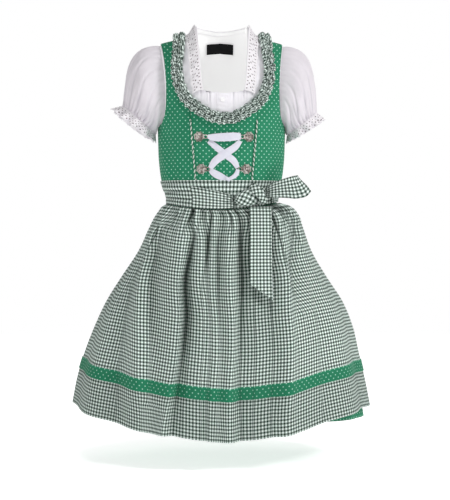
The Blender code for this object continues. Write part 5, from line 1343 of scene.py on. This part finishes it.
def build_hook(name, hand, away, level):
    """A cast flower: eight petals as rings of wire with beads, a domed middle, and the ribbon's ring."""
    point, out = on_form(hand * away, level, -1)
    inward = unit(np.array([-hand, 0.0, 0.0]) - out * -hand * out[0])
    up = np.cross(out, inward)
    seat = point + out * (TRIM_IN + 0.0002)
    loops, counts, points = [], [], []

    def add(rings, closed):
        """Faces between rings of points, the last joined to the first if closed and both capped if not."""
        start, (count, sides) = len(points), rings.shape[:2]
        points.extend(rings.reshape(-1, 3))
        for r in range(count if closed else count - 1):
            near, far = start + r * sides, start + (r + 1) % count * sides
            for k in range(sides):
                right = (k + 1) % sides
                loops.extend((near + k, far + k, far + right, near + right))
                counts.append(4)
        if not closed:
            loops.extend(range(start, start + sides))
            loops.extend(reversed(range(start + (count - 1) * sides, start + count * sides)))
            counts.extend((sides, sides))

    def wire_ring(away, turn, height, radius, wire, squash, around=22, section=8):
        """A ring of wire, away from the middle at a turn and squashed across it."""
        a, b = full_turn(around)[:, None], full_turn(section)[None, :]
        reach = radius + wire * np.cos(b)
        x, y = away + reach * np.cos(a), squash * reach * np.sin(a)
        c, s = math.cos(turn), math.sin(turn)
        add(paired(x * c - y * s, x * s + y * c, height + wire * np.sin(b)), closed=True)

    def bead(away, turn, height, radius, half_height, around=8, rows=5):
        """A domed bead, as rings that run over the top and back under."""
        a, b = full_turn(around)[None, :], np.linspace(0.04, math.pi - 0.04, rows)[:, None]
        x = away * math.cos(turn) + radius * np.sin(b) * np.cos(a)
        y = away * math.sin(turn) + radius * np.sin(b) * np.sin(a)
        add(paired(x, y, height + half_height * np.cos(b)), closed=False)

    bead(0, 0, 0.0009, 0.0024, 0.0012, around=14, rows=6)
    for k in range(PETALS):
        petal, between = 2 * math.pi * (k + 0.5) / PETALS, 2 * math.pi * k / PETALS
        wire_ring(0.0056, petal, 0.0009, 0.0023, 0.00055, 0.80)
        wire_ring(0.0053, petal, 0.0010, 0.0011, 0.00042, 0.75, around=14, section=6)
        bead(0.0086, petal, 0.0008, 0.0007, 0.0007)
        bead(0.0034, between, 0.0012, 0.00075, 0.0008)
        bead(0.0074, between, 0.0008, 0.0008, 0.0006)
    ring_away = HOOK_RADIUS + RING_RADIUS * 0.62
    wire_ring(ring_away, 0, 0.0010, RING_RADIUS, RING_WIRE, 0.86, around=30, section=10)
    x, y, z = np.array(points).T[..., None]
    uvs = np.zeros((len(loops), 2))
    world = seat + x * inward + y * up + z * out
    piece = make_object(f"{name}_cast", world, loops, counts, uvs, SILVER, sharp=70)
    stands_for(name)


# ---- blouse -------------------------------------------------------------------------------------

BACK_NECK_DIP, BACK_NECK_REACH, BACK_NECK_FOOT = 0.0138, 0.0460, -0.0750
NECK_SEAM, PLEAT_DEPTH, PLEAT_WIDTH, PLEAT_REACH = -0.1000, 0.00105, 0.0062, 0.030
PLEATS_FROM = {"left": 0.0072, "right": 0.0105}  # they start beside the placket, which isn't in the middle


def back_neck_edge(x):
    return -BACK_NECK_DIP * np.clip(1 - (x / BACK_NECK_REACH) ** 2, 0, 1)


def build_blouse():
    for side, hand in HANDS:
        points, n, _, level = ladder(BLOUSE_FRONT_RUNGS, hand, -1, 96, 84)
        points = part_at_seams(points, hand, -1)
        x = np.abs(points[..., 0])
        neck = np.exp(-np.clip(NECK_SEAM - level, 0, 1) / PLEAT_REACH) * np.clip((0.046 - x) / 0.010, 0, 1)
        strength = neck * np.clip((x - PLEATS_FROM[side]) / 0.003, 0, 1)
        strength = strength * (0.55 + 0.45 * np.sin(x * 330.0 + 1.2 + hand))
        wave = pleat_wave(2 * math.pi * x / PLEAT_WIDTH + 2.0 * np.sin(x * 210.0), 0.9) * strength
        shade = 0.95 * np.clip(-wave, 0, 1) ** 1.3 + 0.30 * bell(level - NECK_SEAM, 0.0022) * neck
        low, high = BLOUSE_IN + PLEAT_DEPTH * wave, BLOUSE_OUT + PLEAT_DEPTH * wave
        uv, shade = paired(hand * x, points[..., 2]), np.clip(shade, 0, 1)
        front = cloth(f"blouse_cloth_front_{side}", points, n, low, high, uv, FRONT_WHITE, shade=shade)
        stands_for(f"blouse_front_{side}")


def build_blouse_back():
    reach, level = rung_ends(BLOUSE_BACK_RUNGS, "outer", 70)
    x = half_width_at(level) * np.sin(reach * np.linspace(-1, 1, 101)[None, :])
    share = np.clip(1 - level / BACK_NECK_FOOT, 0, 1)
    points, n = on_form(x, level + back_neck_edge(x) * share, 1)
    points = points + (0, SEAM, 0)
    uv = paired(points[..., 0], points[..., 2])
    back = cloth("blouse_cloth_back", points, n, BLOUSE_IN, BLOUSE_OUT, uv, LINING)
    stands_for("blouse_back")


PLACKET, PLACKET_LEVELS = (-0.0110, 0.0070), (-0.1275, -0.1035)
PLACKET_THICKNESS, STITCH_IN, STITCH_DEPTH, STITCH_REACH = 0.0008, 0.0014, 0.00035, 0.0004
BUTTON_RADIUS, BUTTON_THICKNESS, BUTTON_GIRTH, BUTTON_STAND = 0.0042, 0.0014, 0.026, 0.0011
BUTTON_PLACE = (-0.0020, -0.1120)
# The button's section: shares of its radius and of its thickness, from the back's rim over to the middle.
BUTTON_PROFILE = [
    (0.90, 0.0), (1.0, 0.35), (1.0, 0.62), (0.93, 0.90), (0.82, 1.0), (0.70, 0.88), (0.52, 0.62),
    (0.20, 0.55), (0.02, 0.55),
]


def build_placket():
    x = np.linspace(*PLACKET, 40)[None, :]
    level = np.linspace(*PLACKET_LEVELS, 40)[:, None]
    low = BLOUSE_OUT + GAP
    grid, n = on_form(x, level, -1)
    edge = np.minimum(x - PLACKET[0], PLACKET[1] - x)
    lift = 0.0002 * np.cos(level * 900 + x * 200) - STITCH_DEPTH * bell(edge - STITCH_IN, STITCH_REACH)
    high = low + PLACKET_THICKNESS + lift
    piece = cloth("placket_cloth", grid, n, low, high, paired(x, level), FRONT_WHITE)
    stands_for("blouse_placket")
    centre, out = on_form(*BUTTON_PLACE, -1)
    base = centre + out * (low + BUTTON_STAND)
    side = unit(np.cross(out, UP))
    turn = full_turn(48)[:, None]
    spokes = side * np.cos(turn) + np.cross(side, out) * np.sin(turn)
    rings = np.array([
        base + out * BUTTON_THICKNESS * h + BUTTON_RADIUS * r * spokes for r, h in BUTTON_PROFILE
    ])
    length = np.linspace(0, 0.006, len(rings))
    button = ring_solid("button_shell", rings, length, BUTTON_GIRTH, BUTTON)
    stands_for("blouse_button")


LACE_WIDTH, LACE_SHOULDER_LIFT, LACE_WAVES, LACE_WAVE, LACE_THICKNESS = 0.0170, 0.0020, 6, 0.0011, 0.0009
HOLE_RADIUS, HOLE_STEP = 0.00095, 0.0062


def eyelets(u, v, holes):
    """Small worked eyelets: the cells in each one, which take painted shade in place of a hole, and how far
    the cloth round it stands up or sinks.
    """
    mid_u = (u[:-1, :-1] + u[1:, 1:]) / 2
    mid_v = (v[:-1, :-1] + v[1:, 1:]) / 2
    inside, lift = np.zeros(mid_u.shape, bool), np.zeros(u.shape)
    for hu, hv, radius in holes:
        inside |= (mid_u - hu) ** 2 + (mid_v - hv) ** 2 < radius**2
        away = np.sqrt((u - hu) ** 2 + (v - hv) ** 2)
        lift += 0.0003 * bell(away - 1.5 * radius, 0.5 * radius)
        lift -= 0.0005 * np.exp(-((away / (0.9 * radius)) ** 4))
    return inside, lift


def build_neck_lace():
    """Eyelet lace along the blouse's front neckline, with a scalloped free edge and rows of small eyelets:
    shallow dips with discs of painted shade in place of holes.
    """
    rungs = [r for r in BLOUSE_FRONT_RUNGS if r.inner_x > 0.033]
    t, s = np.linspace(0, 1, 215)[:, None], np.linspace(0, 1, 31)[None, :]
    key = np.linspace(0, 1, len(rungs))
    x, level = (np.interp(t, key, column(rungs, name)) for name in ("inner_x", "inner_level"))
    for side, hand in HANDS:
        grid, n = on_form(hand * (x + LACE_WIDTH * (1.0 - 0.10 * t) * s), level, -1)
        wave = LACE_WAVE * (1 + np.cos(2 * math.pi * LACE_WAVES * t)) * s
        low = BLOUSE_OUT + GAP + wave + LACE_SHOULDER_LIFT * bell(grid[..., 1], 0.045)
        u, v = np.broadcast_arrays(LACE_WIDTH * s, arc(grid[:, 7])[:, None])
        holes = []
        for k in range(int(v[-1, 0] / HOLE_STEP)):
            at = (k + 0.7) * HOLE_STEP
            zigzag = 0.0080 + 0.0016 * (-1) ** k
            holes += [(0.0034, at, HOLE_RADIUS), (0.0130, at, HOLE_RADIUS)]
            holes += [(zigzag, at + 0.5 * HOLE_STEP, HOLE_RADIUS * 1.1)]
        inside, worked = eyelets(u, v, holes)
        high = low + LACE_THICKNESS + 0.0001 * np.cos(u * 2600) * np.cos(v * 2300) + worked
        piece = cloth(
            f"neck_lace_cloth_{side}", grid, n, low, high, paired(u, v), [LACE, EYELET_PAINTED_SHADE], spots=inside
        )
        stands_for(f"neck_lace_{side}")


BINDING_HALF_LENGTH, BINDING_WIDTH, BINDING_THICKNESS = 0.0440, 0.0062, 0.0009
TAPE_OUT, TAPE_IN = BLOUSE_IN - 0.0012, BLOUSE_IN - 0.0021


def build_back_neck():
    """The bound back neckline, and the two blank tapes under it."""
    x = np.linspace(-BINDING_HALF_LENGTH, BINDING_HALF_LENGTH, 90)[None, :]
    t = np.linspace(0, 1, 30)[:, None]
    grid, n = on_form(x, back_neck_edge(x) - (1 - t) * BINDING_WIDTH, 1)
    high = BLOUSE_IN - GAP
    low = high - BINDING_THICKNESS - 0.0003 * np.sin(math.pi * t)
    uv = paired(grid[..., 0], grid[..., 2])
    # painted shade along both edges of the binding, at its stitching
    stitched = 0.8 * bell(t - 0.04, 0.10) + 0.7 * bell(t - 0.94, 0.12)
    binding = cloth("neck_binding_cloth", grid + (0, SEAM, 0), n, low, high, uv, LINING, shade=stitched)
    stands_for("neck_binding")
    for name, half, levels, material, node in (
        ("label_tape", 0.0235, (-0.0422, -0.0288), BLACK, "neck_label"),
        ("size_tape", 0.0085, (-0.0484, -0.0428), LINING, "size_tab"),
    ):
        x = np.linspace(-half, half, 60)[None, :]
        level = np.linspace(*levels, 24)[:, None]
        grid, n = on_form(x, level, 1)
        wavy = 0.0003 * np.cos(x * 160 + 1.0) * np.cos(level * 300)
        edge = np.minimum(half - np.abs(x), level - levels[0])
        uv, shade = paired(grid[..., 0], grid[..., 2]), 0.5 * np.exp(-edge / 0.0006)
        piece = cloth(name, grid, n, TAPE_IN + wavy, TAPE_OUT + wavy, uv, material, shade=shade)
        stands_for(node)


# ---- sleeves ------------------------------------------------------------------------------------

Cuff = namedtuple("Cuff", "side outer_x outer_z inner_x inner_z lean")
CUFFS = rows_of(Cuff, [
    ("right", -0.1660, -0.1060, -0.1115, -0.1545, 0.40),
    ("left", 0.1605, -0.1150, 0.1115, -0.1545, 0.00),
])
CUFF_HALF_DEPTH, SLEEVE_THICKNESS, SLEEVE_GATHERS, SLEEVE_GATHER = 0.0350, 0.0009, 34, 0.0019
RUFFLE_LENGTH, RUFFLE_WAVES, RUFFLE_WAVE, RUFFLE_SCALLOPS, RUFFLE_HOLE_STEP = 0.0190, 12, 0.0050, 13, 0.0075
# Each step of the ruffle's eyelets: shift along, distance down and radius.
RUFFLE_HOLES = [(0, 0.0056, 0.0010), (0.0036, 0.0092, 0.0009), (0, 0.0130, 0.0010), (0.0036, 0.0166, 0.0011)]


def blouse_edge(rungs, count, face):
    """Even points down the outer edge of a blouse panel, which is the armhole's."""
    angle, level = (values[:, 0] for values in rung_ends(rungs, "outer", 200))
    line, out = on_form(half_width_at(level) * np.sin(angle), level, face)
    line = line + out * BLOUSE_OUT
    length = arc(line)
    at = np.linspace(0, length[-1], count)
    return paired(*(np.interp(at, length, values) for values in line.T))


def armhole_ring(count, hand):
    half = count // 2
    front = blouse_edge(BLOUSE_FRONT_RUNGS[2:], half + 1, -1)
    back = blouse_edge(BLOUSE_BACK_RUNGS[2:], half + 1, 1)
    return np.concatenate([front[:-1], back[::-1][:-1]]) * (hand, 1, 1)


def cuff_ring(cuff, turn):
    """The cuff's points at turns round it, the directions out from its middle, and the one down the arm."""
    outer, inner = np.array([cuff.outer_x, 0, cuff.outer_z]), np.array([cuff.inner_x, 0, cuff.inner_z])
    half = np.linalg.norm(inner - outer) / 2
    across = (inner - outer) / (2 * half)
    down = np.cross(across, [0, math.copysign(1.0, cuff.outer_x), 0])
    edge = (outer + inner) / 2 + across * half * np.cos(turn) + FRONT * CUFF_HALF_DEPTH * np.sin(turn)
    return edge, across * np.cos(turn) + FRONT * np.sin(turn), down


def sleeve_surface(cuff, count, rows):
    hand = math.copysign(1.0, cuff.outer_x)
    start = armhole_ring(count, hand) + (hand * 2 * SEAM, 0, 0)
    turn = full_turn(count)[:, None]
    end, radial, down = cuff_ring(cuff, turn)
    top = (1 - np.cos(turn)) / 2
    flank = np.abs(np.sin(turn))
    first = start + np.array([hand, 0, 0]) * (0.008 + 0.043 * top**1.2) + FRONT * np.sin(turn) * 0.014
    first = first + UP * 0.006 * top**2
    second = end - down * (0.004 + 0.036 * top) + radial * (0.001 + 0.030 * top + 0.010 * flank)
    t = np.linspace(0, 1, rows)[:, None, None]
    curve = (1 - t) ** 3 * start + 3 * t * (1 - t) ** 2 * first + 3 * t**2 * (1 - t) * second + t**3 * end
    share, around = t[..., 0], turn[None, :, 0]
    high = np.clip(np.sin(around / 2) * 1.6, 0, 1)
    long_ones = 0.5 + 0.5 * np.cos(9 * around + 1.0)
    reach = 0.10 + 0.16 * long_ones**2
    fade = (0.30 * np.exp(-share / 0.10) + np.exp(-(1 - share) / reach)) * np.clip(share / 0.02, 0, 1)
    wander = 0.8 * np.sin(3 * around + 5 * share) + 0.5 * np.sin(7 * around)
    gather = pleat_wave(SLEEVE_GATHERS * around + wander, 1.1)
    ripple = SLEEVE_GATHER * fade * high * gather
    crease = np.abs(np.cos(7 * around + 2.5 * share + 0.4)) ** 14
    broad, narrow = np.cos(5 * around + 4.0 * share + 0.6), np.cos(11 * around - 7.0 * share)
    soft = 0.0020 * high * np.sin(math.pi * share) * (0.6 * broad + 0.4 * narrow - 0.8 * crease)
    shade = (0.34 * crease + 0.45 * (1 - top[None, :, 0]) ** 3) * np.clip((share - 0.35) / 0.4, 0, 1)
    shade = np.clip(shade + 0.55 * fade * np.clip(-gather, 0, 1) ** 1.5, 0, 1)
    return curve + tube_normals(curve) * (ripple + soft)[..., None], shade


def ruffle_surface(cuff, count, rows):
    turn, t = full_turn(count)[None, :, None], np.linspace(0, 1, rows)[:, None, None]
    edge, radial, down = cuff_ring(cuff, turn)
    inner = (1 + np.cos(turn)) / 2
    scallop = 0.09 * np.abs(np.cos(RUFFLE_SCALLOPS * turn)) ** 0.7 * t**4
    reach = RUFFLE_LENGTH * t * (0.93 + 0.05 * np.cos(2 * RUFFLE_WAVES * turn) * t + scallop)
    reach = reach * (1 - 0.38 * inner**3)
    lean = cuff.lean + (0.62 - cuff.lean) * inner
    wave = RUFFLE_WAVE * np.cos(RUFFLE_WAVES * turn + 0.5 * np.sin(3 * turn)) * t**0.8 * (1 - 0.5 * inner)
    wave = wave + 0.0009 * np.cos(41 * turn) * np.exp(-t / 0.25)
    shade = (0.40 * np.clip(-wave / 0.0044, 0, 1) + 0.35 * np.exp(-t / 0.10) + 0.30 * inner**4)[..., 0]
    return edge + down * (2 * SEAM + reach * np.sqrt(1 - lean**2)) + radial * (reach * lean + wave), shade


def build_sleeves():
    for cuff in CUFFS:
        grid, shade = sleeve_surface(cuff, 260, 54)
        sleeve = cloth(
            f"sleeve_cloth_{cuff.side}", grid, tube_normals(grid), -SLEEVE_THICKNESS, 0.0,
            round_uv(grid, 27, 130), WHITE, closed=True, shade=shade,
        )
        stands_for(f"sleeve_{cuff.side}")
        grid, shade = ruffle_surface(cuff, 480, 25)
        uv = round_uv(grid, 12, 120)
        girth = uv[0, -1, 0]
        count = int(girth / RUFFLE_HOLE_STEP)
        starts = (np.arange(count) + 0.5) * girth / count
        holes = [(start + along, down, radius) for start in starts for along, down, radius in RUFFLE_HOLES]
        inside, worked = eyelets(uv[..., 0], uv[..., 1], holes)
        ruffle = cloth(
            f"ruffle_lace_{cuff.side}", grid, tube_normals(grid), -SLEEVE_THICKNESS, worked[:, :-1],
            uv, [LACE, EYELET_PAINTED_SHADE], closed=True, spots=inside, shade=shade,
        )
        stands_for(f"sleeve_ruffle_{cuff.side}")


# ---- stage --------------------------------------------------------------------------------------

FLOOR_LEVEL, FLOOR_RADIUS, STUDIO_RADIUS = -0.700, 3.0, 7.0
LENS, CAMERA_AZIMUTH, CAMERA_ELEVATION = 110.1, -3.2, 0.93
CAMERA_DISTANCE, CAMERA_TARGET = 2.6, (0.006, 0.0, -0.350)
WORLD_LIGHT = 0.22
Light = namedtuple("Light", "name place target size power")
LIGHTS = rows_of(Light, [
    ("key", (2.1, -1.5, 1.2), (0, 0, -0.3), 0.7, 37.0),
    ("top", (-0.3, -1.2, 2.1), (0, 0, -0.3), 0.9, 18.0),
    ("fill", (-1.9, -2.0, 0.2), (0, 0, -0.35), 1.4, 7.0),
    ("back", (0.3, 2.4, 1.2), (0, 0, -0.25), 1.5, 14.0),
])


def plain(name, colour, glow):
    made = bpy.data.materials.new(name)
    made.use_nodes = True
    shader = made.node_tree.nodes["Principled BSDF"]
    shader.inputs["Base Color"].default_value = (*colour, 1)
    shader.inputs["Roughness"].default_value = 0.9
    shader.inputs["Specular IOR Level"].default_value = 0.0
    shader.inputs["Emission Color"].default_value = (1, 1, 1, 1)
    shader.inputs["Emission Strength"].default_value = glow
    return made


def stage_mesh(name, points, faces, material):
    mesh = bpy.data.meshes.new(name)
    mesh.from_pydata([tuple(p) for p in points], [], faces)
    mesh.shade_smooth()
    mesh.materials.append(material)
    made = bpy.data.objects.new(name, mesh)
    bpy.context.scene.collection.objects.link(made)
    return made


def aim(name, data, place, target):
    """An object at a place, turned so that its -Z looks at the target."""
    made = bpy.data.objects.new(name, data)
    made.location = place
    made.rotation_euler = (Vector(target) - Vector(place)).to_track_quat("-Z", "Y").to_euler()
    bpy.context.scene.collection.objects.link(made)
    return made


def build_studio():
    """A pale floor in a white round studio. The walls show behind the garment but don't light it."""
    around, up = 64, 20
    turn, rise = full_turn(around), np.linspace(-0.49, 0.49, up)[:, None] * math.pi
    ball = paired(np.cos(turn) * np.cos(rise), np.sin(turn) * np.cos(rise), np.sin(rise)) * STUDIO_RADIUS
    faces = quads(up - 1, around, around)[0][:, [0, 3, 2, 1]]
    white = plain("studio_white", (0, 0, 0), 1.0)
    walls = stage_mesh("studio_walls", ball.reshape(-1, 3), faces.tolist(), white)
    walls.visible_diffuse = walls.visible_shadow = walls.visible_glossy = False
    rim = paired(FLOOR_RADIUS * np.cos(turn), FLOOR_RADIUS * np.sin(turn), FLOOR_LEVEL)
    stage_mesh("studio_floor", rim, [tuple(range(around))], plain("studio_paper", (0.85, 0.85, 0.85), 0.72))


def build_lights():
    world = bpy.data.worlds.new("studio")
    world.use_nodes = True
    colour, strength = world.node_tree.nodes["Background"].inputs[:2]
    colour.default_value, strength.default_value = (1.0, 1.0, 1.0, 1), WORLD_LIGHT
    bpy.context.scene.world = world
    for name, place, target, size, power in LIGHTS:
        light = bpy.data.lights.new(name, "AREA")
        light.shape, light.size, light.energy = "DISK", size, power
        aim(name, light, place, target)


def build_camera():
    """The camera in front, a little above the middle and to the wearer's right."""
    camera = bpy.data.cameras.new("camera")
    camera.lens, camera.sensor_width = LENS, 36.0
    azimuth, elevation = math.radians(CAMERA_AZIMUTH), math.radians(CAMERA_ELEVATION)
    toward = Vector((math.sin(azimuth), -math.cos(azimuth), 0)) * math.cos(elevation)
    toward.z = math.sin(elevation)
    place = Vector(CAMERA_TARGET) + toward * CAMERA_DISTANCE
    bpy.context.scene.camera = aim("camera", camera, place, CAMERA_TARGET)
    bpy.context.scene.view_settings.view_transform = "Standard"


build_studio()
build_lights()
build_camera()
build_bodice()
build_piping()
build_frill()
build_skirt()
build_apron()
build_sash()
build_knot()
build_knot_wrap()
build_loop()
build_tail()
build_lacing()
build_blouse()
build_blouse_back()
build_placket()
build_neck_lace()
build_back_neck()
build_sleeves()
